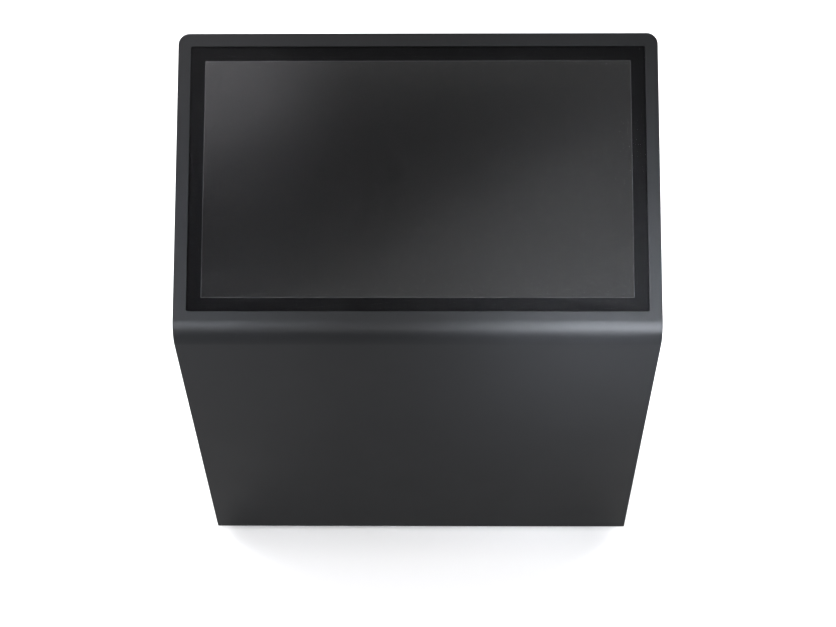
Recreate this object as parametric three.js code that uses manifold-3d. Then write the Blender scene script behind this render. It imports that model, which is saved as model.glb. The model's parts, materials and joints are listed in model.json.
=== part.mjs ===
// Floor-standing touchscreen kiosk with a tilted 43 inch landscape screen.
// A folded steel cabinet: a shallow head carries the display, and a deep leg leans forward under it.
// Millimetres, +Z up. X runs across the kiosk, -Y is the side that the visitor stands on.
// The origin is on the floor, at the middle of the kiosk's footprint box.
import * as THREE from "three";
import { mergeVertices } from "three/addons/utils/BufferGeometryUtils.js";
import Module from "manifold-3d";

const wasm = await Module();
wasm.setup();

// ---------------------------------------------------------------- driving dimensions
const RAD = Math.PI / 180;
const SCREEN_TILT = 40 * RAD; // head face above the horizontal
const LEG_LEAN = 11 * RAD; // leg away from the vertical
const WIDTH = 1060;
const HEAD_LENGTH = 674; // from the sharp crease to the top edge, along the face
const HEAD_DEPTH = 75;
const LEG_LENGTH = 857; // from the bottom edge to the sharp crease, along the front
const LEG_DEPTH = 373; // square to the leg's front
const CREASE_RADIUS = 60;
const CORNER_RADIUS = 25;
const FLOOR_GAP = 18;
const SHEET = 1.5; // cabinet steel
const GAP = 0.3; // between neighbouring pieces
const LIP = 20; // the front panel's folded edge
const FIT = SHEET + GAP;

const WINDOW = { width: 1002, low: 54, high: 644, radius: 4 }; // opening for the glass
const ACTIVE = { width: 941, height: 529, middle: 349 }; // lit area of the display
const STILE = 60; // side panel's rear flange beside the door
const REAR_HALF = WIDTH / 2 - FIT - STILE - 1.2; // half the width of the rear panels
const COVER_EDGE = 3; // the back cover stops this far short of the head's top
const DOOR = { low: 102, high: 782, half: REAR_HALF - 1, turn: 18 };

// ---------------------------------------------------------------- materials
function finish(color, roughness, metalness) {
  return new THREE.MeshStandardMaterial({ color, roughness, metalness });
}
const POWDER_COAT = finish(0x2c2d2f, 0.5, 0.2);
const ZINC = finish(0xb4b7b8, 0.35, 0.9);
const BLACK_PLASTIC = finish(0x161617, 0.45, 0);
const CHROME = finish(0xd6d8da, 0.12, 1);
const GLASS = finish(0x0c0d0f, 0.08, 0);
const PANEL_DARK = finish(0x1c1c1e, 0.4, 0);
const CLEAR_ACRYLIC = finish(0xe8ecec, 0.2, 0);
const ALUMINIUM = finish(0xa9acad, 0.4, 0.9);
const RUBBER = finish(0x1a1a1a, 0.8, 0);
const BOARD_GREEN = finish(0x1f5a3a, 0.5, 0);
const PAPER_CONE = finish(0x202022, 0.8, 0);
const FOAM = finish(0x101010, 0.9, 0);
const RED_PLASTIC = finish(0xa41f1c, 0.3, 0);

// ---------------------------------------------------------------- solids
// A closed three.js geometry as a manifold-3d solid.
function solid(geometry) {
  const bare = geometry.clone();
  bare.deleteAttribute("normal");
  bare.deleteAttribute("uv");
  const merged = mergeVertices(bare, 1e-4);
  const index = merged.index.array;
  const kept = [];
  for (let i = 0; i < index.length; i += 3) {
    const [a, b, c] = [index[i], index[i + 1], index[i + 2]];
    if (a !== b && b !== c && a !== c) kept.push(a, b, c);
  }
  const mesh = new wasm.Mesh({
    numProp: 3,
    vertProperties: merged.attributes.position.array,
    triVerts: new Uint32Array(kept),
  });
  return new wasm.Manifold(mesh);
}

function geometryOf(made) {
  const mesh = made.getMesh();
  const geometry = new THREE.BufferGeometry();
  geometry.setAttribute("position", new THREE.BufferAttribute(mesh.vertProperties, 3));
  geometry.setIndex(new THREE.BufferAttribute(mesh.triVerts, 1));
  geometry.computeVertexNormals();
  return geometry;
}

const join = (first, ...rest) => rest.reduce((sum, part) => sum.add(part), first);
const cut = (first, ...rest) => rest.reduce((sum, part) => sum.subtract(part), first);

function block(x0, x1, y0, y1, z0, z1) {
  const geometry = new THREE.BoxGeometry(x1 - x0, y1 - y0, z1 - z0);
  geometry.translate((x0 + x1) / 2, (y0 + y1) / 2, (z0 + z1) / 2);
  return solid(geometry);
}

// A round bar along local Z.
function rod(x, y, z0, z1, radius, sides = 24, topRadius = radius) {
  const geometry = new THREE.CylinderGeometry(topRadius, radius, z1 - z0, sides);
  geometry.rotateX(Math.PI / 2);
  geometry.translate(x, y, (z0 + z1) / 2);
  return solid(geometry);
}

// A round bar along local Y.
function upright(x, z, y0, y1, radius, sides = 16) {
  const geometry = new THREE.CylinderGeometry(radius, radius, y1 - y0, sides);
  geometry.translate(x, (y0 + y1) / 2, z);
  return solid(geometry);
}

// An outline in local X and Y, given its thickness along Z.
function plate(shape, z0, z1, curveSegments = 6) {
  const depth = z1 - z0;
  const geometry = new THREE.ExtrudeGeometry(shape, { depth, bevelEnabled: false, curveSegments });
  geometry.translate(0, 0, z0);
  return solid(geometry);
}

// An outline in Y and Z, given its width along X.
const CROSSWISE = new THREE.Matrix4().makeBasis(
  new THREE.Vector3(0, 1, 0),
  new THREE.Vector3(0, 0, 1),
  new THREE.Vector3(1, 0, 0),
);
function crosswise(points, x0, x1) {
  const shape = new THREE.Shape(points);
  const geometry = new THREE.ExtrudeGeometry(shape, { depth: x1 - x0, bevelEnabled: false });
  geometry.translate(0, 0, x0);
  geometry.applyMatrix4(CROSSWISE);
  return solid(geometry);
}

// A rectangle with its own radius at the two top corners and at the two bottom ones.
function roundedRectangle(x0, x1, y0, y1, top, bottom = top) {
  const shape = new THREE.Shape();
  shape.moveTo(x0 + bottom, y0);
  shape.lineTo(x1 - bottom, y0);
  if (bottom) shape.absarc(x1 - bottom, y0 + bottom, bottom, -Math.PI / 2, 0);
  shape.lineTo(x1, y1 - top);
  if (top) shape.absarc(x1 - top, y1 - top, top, 0, Math.PI / 2);
  shape.lineTo(x0 + top, y1);
  if (top) shape.absarc(x0 + top, y1 - top, top, Math.PI / 2, Math.PI);
  shape.lineTo(x0, y0 + bottom);
  if (bottom) shape.absarc(x0 + bottom, y0 + bottom, bottom, Math.PI, 1.5 * Math.PI);
  return shape;
}

function hexagon(x, y, acrossFlats, z0, z1) {
  return rod(x, y, z0, z1, acrossFlats / Math.sqrt(3), 6);
}

// Slots to cut, in rows: width by height, repeated columns by rows about a middle.
function slots(x, y, width, height, columns, rows, pitchX, pitchY, z0, z1) {
  const made = [];
  for (let column = 0; column < columns; column++)
    for (let row = 0; row < rows; row++) {
      const cx = x + (column - (columns - 1) / 2) * pitchX;
      const cy = y + (row - (rows - 1) / 2) * pitchY;
      const half = width / 2;
      made.push(block(cx - half, cx + half, cy - height / 2, cy + height / 2, z0, z1));
    }
  return made;
}

// A round cable along a smooth route.
function cable(points, diameter, steps) {
  const route = new THREE.CatmullRomCurve3(points.map((p) => new THREE.Vector3(...p)));
  const section = new THREE.Shape();
  section.absarc(0, 0, diameter / 2, 0, 2 * Math.PI);
  const options = { extrudePath: route, steps, curveSegments: 5, bevelEnabled: false };
  return solid(new THREE.ExtrudeGeometry(section, options));
}

// ---------------------------------------------------------------- the kiosk's side outline, in Y and Z
const point = (y, z) => new THREE.Vector2(y, z);
const along = (from, direction, distance) =>
  point(from.x + direction.x * distance, from.y + direction.y * distance);

const FACE_UP = point(Math.cos(SCREEN_TILT), Math.sin(SCREEN_TILT));
const FACE_OUT = point(-Math.sin(SCREEN_TILT), Math.cos(SCREEN_TILT));
const LEG_UP = point(-Math.sin(LEG_LEAN), Math.cos(LEG_LEAN));
const LEG_OUT = point(-Math.cos(LEG_LEAN), -Math.sin(LEG_LEAN));
const BOTTOM_FRONT = point(0, FLOOR_GAP);
const CREASE = along(BOTTOM_FRONT, LEG_UP, LEG_LENGTH);
const HALF_TURN = Math.acos(FACE_OUT.dot(LEG_OUT)) / 2;
const BISECTOR = FACE_OUT.clone().add(LEG_OUT).normalize();
const BEND_CENTRE = along(CREASE, BISECTOR, -CREASE_RADIUS / Math.cos(HALF_TURN));
const BEND_STEPS = 14;

// The point where the line through from, along direction, reaches a height.
const atHeight = (from, direction, z) => along(from, direction, (z - from.y) / direction.y);
// The point where two lines cross.
function crossing(a, directionA, b, directionB) {
  const apart = b.clone().sub(a);
  return along(a, directionA, apart.cross(directionB) / directionA.cross(directionB));
}

// The front outline from the bottom, round the crease, to the head's top, at a depth under the skin.
function frontLine(depth, endInset = 0, bottom = FLOOR_GAP) {
  const radius = CREASE_RADIUS - depth;
  const points = [atHeight(along(BEND_CENTRE, LEG_OUT, radius), LEG_UP, bottom)];
  const from = Math.atan2(LEG_OUT.y, LEG_OUT.x) + 2 * Math.PI;
  const to = Math.atan2(FACE_OUT.y, FACE_OUT.x);
  for (let i = 0; i <= BEND_STEPS; i++) {
    const angle = from + ((to - from) * i) / BEND_STEPS;
    points.push(along(BEND_CENTRE, point(Math.cos(angle), Math.sin(angle)), radius));
  }
  points.push(facePoint(HEAD_LENGTH - endInset, depth));
  return points;
}

// A point of the head: distance up the face from the crease, and depth under it.
function facePoint(up, depth) {
  return along(along(CREASE, FACE_UP, up), FACE_OUT, -depth);
}
// A point of the leg's rear: height along it from the bottom edge, and depth under it.
const REAR_BOTTOM = atHeight(along(BOTTOM_FRONT, LEG_OUT, -LEG_DEPTH), LEG_UP, FLOOR_GAP);
function rearPoint(up, depth) {
  return along(along(REAR_BOTTOM, LEG_UP, up), LEG_OUT, depth);
}
// Where the leg's rear meets the back of the head, at a depth under each.
function junction(legDepth, headDepth) {
  return crossing(rearPoint(0, legDepth), LEG_UP, facePoint(0, headDepth), FACE_UP);
}
const JUNCTION = junction(0, HEAD_DEPTH);
const REAR_LENGTH = JUNCTION.clone().sub(REAR_BOTTOM).dot(LEG_UP);
const BACK_LOW = JUNCTION.clone().sub(CREASE).dot(FACE_UP); // lower edge of the head's back

// ---------------------------------------------------------------- frames that the pieces are drawn in
const kiosk = new THREE.Group();
const FRONTMOST = BEND_CENTRE.x - CREASE_RADIUS;
const REARMOST = facePoint(HEAD_LENGTH - COVER_EDGE, HEAD_DEPTH).x;
const MIDDLE = -(FRONTMOST + REARMOST) / 2;

// Body frame: X across, Y back from the leg's bottom edge, Z up from the floor.
const body = new THREE.Group();
body.position.y = MIDDLE;
kiosk.add(body);

// Head frame: X across, Y up the face from the crease, Z out of the face.
const head = new THREE.Group();
head.position.set(0, CREASE.x, CREASE.y);
head.rotation.x = SCREEN_TILT;
body.add(head);

// Rear frame, seen from behind: X to the right, Y up the leg's rear from its bottom edge, Z out of it.
const rear = new THREE.Group();
rear.position.set(0, REAR_BOTTOM.x, REAR_BOTTOM.y);
rear.quaternion.setFromRotationMatrix(
  new THREE.Matrix4().makeBasis(
    new THREE.Vector3(-1, 0, 0),
    new THREE.Vector3(0, LEG_UP.x, LEG_UP.y),
    new THREE.Vector3(0, -LEG_OUT.x, -LEG_OUT.y),
  ),
);
body.add(rear);

function add(name, made, material, frame = body) {
  const mesh = new THREE.Mesh(geometryOf(made), material);
  mesh.name = name;
  frame.add(mesh);
}

// A solid drawn in the head frame or the rear frame, carried into the body frame.
head.updateMatrix();
rear.updateMatrix();
const fromHead = (made) => made.transform(head.matrix.elements);
const fromRear = (made) => made.transform(rear.matrix.elements);
const FAR = 3000; // longer than the kiosk, for cuts that run right through

// ---------------------------------------------------------------- cabinet
// One folded sheet: screen surround, crease and leg front, with a lip round its sides and top.
function frontPanel() {
  const skin = [...frontLine(0), ...frontLine(LIP).reverse()];
  const hollow = [
    ...frontLine(SHEET, SHEET, FLOOR_GAP - 5),
    ...frontLine(LIP + 1, SHEET, FLOOR_GAP - 5).reverse(),
  ];
  const half = WIDTH / 2;
  const rounding = (inset) => {
    const outline = roundedRectangle(
      inset - half,
      half - inset,
      -FAR,
      HEAD_LENGTH - inset,
      CORNER_RADIUS - inset,
      0,
    );
    return fromHead(plate(outline, -FAR, FAR, 8));
  };
  const outer = crosswise(skin, -half, half).intersect(rounding(0));
  const inner = crosswise(hollow, SHEET - half, half - SHEET).intersect(rounding(SHEET));
  const w = WINDOW;
  const opening = roundedRectangle(-w.width / 2, w.width / 2, w.low, w.high, w.radius);
  return cut(outer, inner, fromHead(plate(opening, -10, 10, 4)));
}
add("front_panel", frontPanel(), POWDER_COAT);

const REAR_BOTTOM_PANEL = { low: 2, high: DOOR.low - 2 };
const REAR_TOP_PANEL = { low: DOOR.high + 2, high: REAR_LENGTH - 3 };
const SIDE_TOP = HEAD_LENGTH - FIT - 60; // the top panel's legs reach down to here
const HEAD_FLANGE = 22;
const BASE_PLATE = 4;
const BASE_TOP = FLOOR_GAP + BASE_PLATE;

// side is +1 for the visitor's right and -1 for the left.
function sidePanel(side) {
  const outer = WIDTH / 2 - FIT;
  const across = (near, far) => (side > 0 ? [outer - far, outer - near] : [near - outer, far - outer]);
  const shell = HEAD_DEPTH - FIT; // the back cover lies over the head's flange
  const front = frontLine(FIT, HEAD_LENGTH - SIDE_TOP);
  const bottomRear = rearPoint(0, 0);
  const wall = [...front, facePoint(SIDE_TOP, shell), junction(0, shell), bottomRear];
  const legFlange = [bottomRear, junction(0, shell), junction(SHEET, shell - SHEET), rearPoint(0, SHEET)];
  const headFlange = [
    junction(0, shell),
    facePoint(SIDE_TOP, shell),
    facePoint(SIDE_TOP, shell - SHEET),
    junction(SHEET, shell - SHEET),
  ];
  const footFlange = [
    point(10, BASE_TOP + GAP),
    point(360, BASE_TOP + GAP),
    point(360, BASE_TOP + GAP + SHEET),
    point(10, BASE_TOP + GAP + SHEET),
  ];
  return join(
    crosswise(wall, ...across(0, SHEET)),
    crosswise(legFlange.reverse(), ...across(0, STILE)),
    crosswise(headFlange.reverse(), ...across(0, HEAD_FLANGE)),
    crosswise(footFlange, ...across(0, 25)),
    rearTongue(side, REAR_BOTTOM_PANEL.low + 22, REAR_BOTTOM_PANEL.high - 10),
    rearTongue(side, REAR_TOP_PANEL.low + 10, REAR_TOP_PANEL.high - 20),
  );
}

// A stepped strip, welded behind the rear flange, that a rear panel is screwed to.
function rearTongue(side, low, high) {
  const strip = (near, far, back) => {
    const [x0, x1] = side > 0 ? [-far, -near] : [near, far];
    return block(x0, x1, low, high, -FIT - SHEET, back);
  };
  const overlap = strip(REAR_HALF - 14, REAR_HALF + 16, -FIT);
  const step = strip(REAR_HALF + 3, REAR_HALF + 16, -SHEET / 2);
  return fromRear(join(overlap, step));
}
add("side_panel_left", sidePanel(-1), POWDER_COAT);
add("side_panel_right", sidePanel(1), POWDER_COAT);

// The head's top, folded round both corners, with a flange that the back cover screws to.
function headTopPanel() {
  const shell = HEAD_DEPTH - FIT;
  const ring = (inset) => {
    const half = WIDTH / 2 - FIT - inset;
    const radius = Math.max(CORNER_RADIUS - FIT - inset, 2);
    return roundedRectangle(-half, half, 0, HEAD_LENGTH - FIT - inset, radius, 0);
  };
  const tube = cut(plate(ring(0), -shell, -FIT), plate(ring(SHEET), -shell - 1, 0));
  const flange = cut(
    plate(ring(0), -shell, SHEET - shell),
    plate(ring(HEAD_FLANGE), -shell - 1, SHEET - shell + 1),
  );
  return cut(join(tube, flange), block(-FAR, FAR, -FAR, SIDE_TOP + GAP, -FAR, FAR));
}
add("head_top_panel", headTopPanel(), POWDER_COAT, head);

const SPEAKER = { x: 370, y: 560 };
// The removable cover on the back of the head, with slots for the speakers and for air.
function headBackCover() {
  const half = WIDTH / 2 - FIT - 1;
  const top = HEAD_LENGTH - COVER_EDGE;
  const outline = roundedRectangle(-half, half, BACK_LOW + 3, top, 22, 1);
  const from = -HEAD_DEPTH - 1;
  const to = -HEAD_DEPTH + SHEET + 1;
  return cut(
    plate(outline, -HEAD_DEPTH, SHEET - HEAD_DEPTH),
    ...slots(-SPEAKER.x, SPEAKER.y, 72, 3.5, 1, 7, 0, 10, from, to),
    ...slots(SPEAKER.x, SPEAKER.y, 72, 3.5, 1, 7, 0, 10, from, to),
    ...slots(0, SPEAKER.y, 3.5, 60, 16, 1, 14, 0, from, to),
  );
}
add("head_back_cover", headBackCover(), POWDER_COAT, head);

// A flat panel with its top and bottom edges folded inwards, and its ends too if they are turned.
function tray(half, { low, high }, turn, turnedEnds) {
  const reach = turnedEnds ? half - SHEET : half + 1;
  const outer = block(-half, half, low, high, -turn, 0);
  return cut(outer, block(-reach, reach, low + SHEET, high - SHEET, -turn - 1, -SHEET));
}

const FAN = { x: 170, y: 905, size: 120, depth: 25 };
const REAR_TURN = 14;
function rearTopPanel() {
  const vents = [-FAN.x, FAN.x].flatMap((x) => slots(x, FAN.y, 100, 3.5, 1, 11, 0, 9, -5, 5));
  return cut(tray(REAR_HALF, REAR_TOP_PANEL, REAR_TURN, false), ...vents);
}
add("rear_top_panel", rearTopPanel(), POWDER_COAT, rear);

const INLET = { x: -330, y: 55, width: 27, height: 47 };
const BUTTON = { x: -265, y: 55, radius: 6, travel: 3 };
const PORTS = { x: -185, y: 55, width: 74, height: 24 };
function rearBottomPanel() {
  const sheet = tray(REAR_HALF, REAR_BOTTOM_PANEL, REAR_TURN, false);
  const holeFor = (part) => {
    const halfWide = part.width / 2 + 0.4;
    const halfHigh = part.height / 2 + 0.4;
    return block(
      part.x - halfWide,
      part.x + halfWide,
      part.y - halfHigh,
      part.y + halfHigh,
      -5,
      5,
    );
  };
  return cut(
    sheet,
    holeFor(INLET),
    holeFor(PORTS),
    rod(BUTTON.x, BUTTON.y, -5, 5, BUTTON.radius + 0.5),
    block(-FAR, FAR, 0, 20, -FAR, -SHEET), // its bottom edge has no fold, to clear the base plate
  );
}
add("rear_bottom_panel", rearBottomPanel(), POWDER_COAT, rear);

// ---------------------------------------------------------------- service door, hinges and lock
const LOCK = { x: 428, y: 442, housing: 9.5, plug: 6.3 };
function serviceDoor() {
  const vent = (y) => slots(0, y, 160, 3.5, 3, 7, 220, 14, -5, 5);
  return cut(
    tray(DOOR.half, DOOR, DOOR.turn, true),
    rod(LOCK.x, LOCK.y, -5, 5, LOCK.housing + GAP),
    ...vent(DOOR.low + 110),
    ...vent(DOOR.high - 110),
  );
}
add("service_door", serviceDoor(), POWDER_COAT, rear);

const HINGE = {
  x: -(DOOR.half + REAR_HALF + 1.2) / 2,
  z: 5.8,
  radius: 5,
  pin: 2.4,
  bore: 2.6,
  leaf: 2,
  length: 80,
  knuckle: 25,
};
// A hinge leaf: a plate on the sheet and the knuckles that wrap the pin. side is -1 for the frame, 1 for the door.
function hingeLeaf(side, base, knuckles) {
  const near = HINGE.x + side * 3.6;
  const far = HINGE.x + side * 25;
  const [x0, x1] = [Math.min(near, far), Math.max(near, far)];
  let made = block(x0, x1, base, base + HINGE.length, GAP, GAP + HINGE.leaf);
  for (const [low, high] of knuckles) {
    const [t0, t1] = [Math.min(HINGE.x, far), Math.max(HINGE.x, far)];
    const tab = block(t0, t1, base + low, base + high, GAP, GAP + HINGE.leaf);
    const barrel = upright(HINGE.x, HINGE.z, base + low, base + high, HINGE.radius);
    made = join(made, tab, barrel);
  }
  return cut(made, upright(HINGE.x, HINGE.z, base - 1, base + HINGE.length + 1, HINGE.bore));
}
function hingePin(base) {
  const top = base + HINGE.length;
  return join(
    upright(HINGE.x, HINGE.z, base - 2, top + GAP + 1, HINGE.pin),
    upright(HINGE.x, HINGE.z, top + GAP, top + GAP + 2.5, HINGE.radius - 0.6),
  );
}
const HINGE_BASES = { lower: DOOR.low + 70, upper: DOOR.high - 70 - HINGE.length };
for (const [place, base] of Object.entries(HINGE_BASES)) {
  const { length, knuckle } = HINGE;
  const ends = [
    [0, knuckle],
    [length - knuckle, length],
  ];
  const middle = [[knuckle + 0.5, length - knuckle - 0.5]];
  add(`hinge_frame_leaf_${place}`, hingeLeaf(-1, base, ends), ZINC, rear);
  add(`hinge_door_leaf_${place}`, hingeLeaf(1, base, middle), ZINC, rear);
  add(`hinge_pin_${place}`, hingePin(base), CHROME, rear);
}

// A cam lock: housing, the plug that the key turns, and the cam on the plug's tail.
const STRIKE_DEPTH = DOOR.turn + GAP + 2; // the strike's plate is 2 thick and stops the door
const CAM = { width: 18, length: 62, thickness: 2, depth: STRIKE_DEPTH + GAP };
function lockHousing() {
  return cut(
    join(
      rod(LOCK.x, LOCK.y, GAP, 3.2, 12.5, 32, 11.5),
      rod(LOCK.x, LOCK.y, 1.3 - STRIKE_DEPTH, 1, LOCK.housing),
    ),
    rod(LOCK.x, LOCK.y, -FAR, FAR, LOCK.plug + GAP),
  );
}
add("lock_housing", lockHousing(), CHROME, rear);
add("lock_plug", rod(LOCK.x, LOCK.y, -STRIKE_DEPTH, 2.8, LOCK.plug), CHROME, rear);

function lockCam() {
  const half = CAM.width / 2;
  const tongue = roundedRectangle(-half, half, -half, CAM.length, 4, half - 1);
  return plate(tongue, -CAM.depth - CAM.thickness, -CAM.depth).translate(LOCK.x, LOCK.y, 0);
}
add("lock_cam", lockCam(), ZINC, rear);

// The catch on the side panel's flange: the door's edge rests on it, and the turned cam reaches behind it.
function lockStrike() {
  const x0 = REAR_HALF + 4;
  const [y0, y1] = [LOCK.y - 20, LOCK.y + 20];
  return join(
    block(x0, x0 + 34, y0, y1, -FIT - 2, -FIT),
    block(x0, x0 + 2, y0, y1, -STRIKE_DEPTH, -FIT),
    block(x0 - 18, x0 + 16, y0, y1, -STRIKE_DEPTH, 2 - STRIKE_DEPTH),
  );
}
add("lock_strike", lockStrike(), ZINC, rear);

// ---------------------------------------------------------------- base
const FOOT = { x: 440, front: 48, rear: 318, stem: 5, pad: 25, top: 70 };
const RAIL = { half: 30, height: 30, wall: 3, front: 14, rear: 350 };
const ANCHOR = { x: 350, radius: 7 };
const CABLE_HOLE = { x0: -45, x1: 45, y0: 220, y1: 280 };
const bothSides = (x) => [-x, x];
const footPlaces = bothSides(FOOT.x).flatMap((x) => [
  [x, FOOT.front],
  [x, FOOT.rear],
]);

function basePlate() {
  const half = WIDTH / 2 - FIT - SHEET - 0.5;
  const holes = footPlaces.map(([x, y]) => rod(x, y, 0, 50, FOOT.stem + 2, 12));
  for (const x of bothSides(ANCHOR.x))
    for (const y of [FOOT.front, FOOT.rear]) holes.push(rod(x, y, 0, 50, ANCHOR.radius, 12));
  const c = CABLE_HOLE;
  const top = FLOOR_GAP + 18;
  const plateAndFlanges = join(
    block(-half, half, 2.5, 375, FLOOR_GAP, BASE_TOP),
    block(-half, half, 2.5, 2.5 + BASE_PLATE, FLOOR_GAP, top),
    block(-REAR_HALF, REAR_HALF, 371 - BASE_PLATE, 371, FLOOR_GAP, top),
  );
  return cut(plateAndFlanges, block(c.x0, c.x1, c.y0, c.y1, 0, 50), ...holes);
}
add("base_plate", basePlate(), POWDER_COAT);

// A rubber edging that lines the cable hole and laps over the plate.
function cableGrommet() {
  const c = CABLE_HOLE;
  const ring = (grow, z0, z1) =>
    block(c.x0 - grow, c.x1 + grow, c.y0 - grow, c.y1 + grow, z0, z1);
  return cut(
    join(ring(-GAP, FLOOR_GAP - 1, BASE_TOP + GAP + 3), ring(5, BASE_TOP + GAP, BASE_TOP + GAP + 3)),
    ring(-4, 0, 50),
  );
}
add("cable_grommet", cableGrommet(), RUBBER);

// An upturned channel across the base, with a threaded boss over each foot.
function baseRail(x) {
  const z0 = BASE_TOP + GAP;
  const z1 = z0 + RAIL.height;
  const { half, wall } = RAIL;
  const channel = cut(
    block(x - half, x + half, RAIL.front, RAIL.rear, z0, z1),
    block(x - half + wall, x + half - wall, RAIL.front - 1, RAIL.rear + 1, z0 - 1, z1 - wall),
  );
  const places = [FOOT.front, FOOT.rear];
  const bosses = places.map((y) => hexagon(x, y, 19, z1 - wall - 12, z1 - 1));
  const threads = places.map((y) => rod(x, y, 0, 100, FOOT.stem + GAP, 16));
  return cut(join(channel, ...bosses), ...threads);
}
add("base_rail_left", baseRail(-FOOT.x), ZINC);
add("base_rail_right", baseRail(FOOT.x), ZINC);

// A levelling foot: a swivelling pad under a threaded stem.
function levellingFoot(x, y) {
  const profile = [
    point(0, 0),
    point(FOOT.pad, 0),
    point(FOOT.pad, 4),
    point(FOOT.pad - 6, 7),
    point(9, 10),
    point(FOOT.stem, 10),
    point(FOOT.stem, FOOT.top),
    point(0, FOOT.top),
  ];
  const geometry = new THREE.LatheGeometry(profile, 32);
  geometry.rotateX(Math.PI / 2);
  geometry.translate(x, y, 0);
  return solid(geometry);
}
function jamNut(x, y) {
  return cut(hexagon(x, y, 17, 11.4, FLOOR_GAP - GAP), rod(x, y, 0, 50, FOOT.stem + GAP, 16));
}
for (const [x, y] of footPlaces) {
  const place = `${y === FOOT.front ? "front" : "rear"}_${x < 0 ? "left" : "right"}`;
  add(`levelling_foot_${place}`, levellingFoot(x, y), RUBBER);
  add(`jam_nut_${place}`, jamNut(x, y), ZINC);
}

// ---------------------------------------------------------------- display stack, drawn in the head frame
// A slab about the middle of the screen, between two depths under the face.
function slab(width, height, front, back) {
  const middle = ACTIVE.middle;
  return block(-width / 2, width / 2, middle - height / 2, middle + height / 2, -back, -front);
}
function frameRing(outer, inner, front, back) {
  return cut(slab(...outer, front, back), slab(...inner, front - 1, back + 1));
}
const GLASS_SIZE = [1018, 606];
const MODULE_SIZE = [971, 559];
const DEPTHS = { tape: 1.8, glass: 2.6, bezel: 6.9, cell: 8.2, pan: 10.3, guide: 10.6, back: 17.3 };

add("glass_tape", frameRing(GLASS_SIZE, [1006, 594], DEPTHS.tape, 2.3), FOAM, head);
add("touch_glass", slab(...GLASS_SIZE, DEPTHS.glass, DEPTHS.glass + 4), GLASS, head);
const BEZEL_OPENING = [ACTIVE.width + 6, ACTIVE.height + 6];
add("lcd_bezel", frameRing(MODULE_SIZE, BEZEL_OPENING, DEPTHS.bezel, 7.9), PANEL_DARK, head);
add("lcd_cell", slab(963, 551, DEPTHS.cell, 10), PANEL_DARK, head);

// The shallow pan behind the light guide, stiffened by two cross ribs.
function backlightTray() {
  const [width, height] = MODULE_SIZE;
  const pan = cut(
    slab(width, height, DEPTHS.pan, DEPTHS.back),
    slab(width - 2, height - 2, DEPTHS.pan - 1, DEPTHS.back - 1),
  );
  const ribs = bothSides(120).map((offset) => {
    const y = ACTIVE.middle + offset;
    return block(-430, 430, y - 12, y + 12, -DEPTHS.back - 2, -DEPTHS.back + 0.5);
  });
  return join(pan, ...ribs);
}
add("backlight_tray", backlightTray(), ALUMINIUM, head);
add("light_guide", slab(955, 543, DEPTHS.guide, DEPTHS.guide + 4), CLEAR_ACRYLIC, head);

// Channels that carry the display: two rails across the head, two brackets between them.
function headRail(y) {
  const half = WIDTH / 2 - FIT - SHEET - GAP;
  return cut(
    block(-half, half, y - 12, y + 12, -52, -30),
    block(-FAR, FAR, y - 10, y + 10, -60, -32),
  );
}
const RAIL_LOW = 95;
const RAIL_HIGH = 603;
add("head_rail_bottom", headRail(RAIL_LOW), ZINC, head);
add("head_rail_top", headRail(RAIL_HIGH), ZINC, head);

const BRACKET = { x: 300, half: 15, front: DEPTHS.back + 2.3, back: 29.7 };
function lcdBracket(x) {
  const { half, front, back } = BRACKET;
  return cut(
    block(x - half, x + half, RAIL_LOW - 14, RAIL_HIGH + 14, -back, -front),
    block(x - half + 2, x + half - 2, RAIL_LOW + 14, RAIL_HIGH - 14, -back + 2, -front + 1),
  );
}
add("lcd_bracket_left", lcdBracket(-BRACKET.x), ZINC, head);
add("lcd_bracket_right", lcdBracket(BRACKET.x), ZINC, head);

// A circuit board on four pillars, with its tallest parts standing on it.
function circuitBoard({ x, y, width, height, front, pillar }, parts) {
  const box = (dx, dy, w, h, z0, z1) =>
    block(x + dx - w / 2, x + dx + w / 2, y + dy - h / 2, y + dy + h / 2, z0, z1);
  const standing = parts.map(([dx, dy, w, h, tall]) =>
    box(dx, dy, w, h, -front - 1.6 - tall, -front - 1),
  );
  const pillars = bothSides(width / 2 - 6).flatMap((dx) =>
    bothSides(height / 2 - 6).map((dy) => rod(x + dx, y + dy, -front - 1, pillar - front, 2.5, 8)),
  );
  return join(box(0, 0, width, height, -front - 1.6, -front), ...standing, ...pillars);
}
const DISPLAY_BOARD = { x: 60, y: 310, width: 200, height: 130, front: 22.6, pillar: 5 };
const displayParts = [
  [-60, 20, 34, 34, 8],
  [0, -20, 18, 18, 2],
  [40, 20, 22, 14, 3],
  [0, 55, 90, 8, 6],
  [-70, -50, 26, 10, 9],
  [60, -48, 40, 12, 7],
];
add("display_board", circuitBoard(DISPLAY_BOARD, displayParts), BOARD_GREEN, head);
const TOUCH_BOARD = { x: -150, y: 278, width: 90, height: 46, front: 22.6, pillar: 5 };
const touchParts = [
  [0, 4, 14, 14, 1.5],
  [-26, -10, 16, 8, 5],
  [26, -10, 16, 8, 5],
];
add("touch_controller", circuitBoard(TOUCH_BOARD, touchParts), BOARD_GREEN, head);
// The remote control's receiver looks out through the glass, below the display.
const RECEIVER_BOARD = { x: 0, y: 58, width: 40, height: 15, front: 9, pillar: 2.1 };
add("ir_receiver", circuitBoard(RECEIVER_BOARD, [[0, 0, 14, 8, 4]]), BOARD_GREEN, head);

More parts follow.
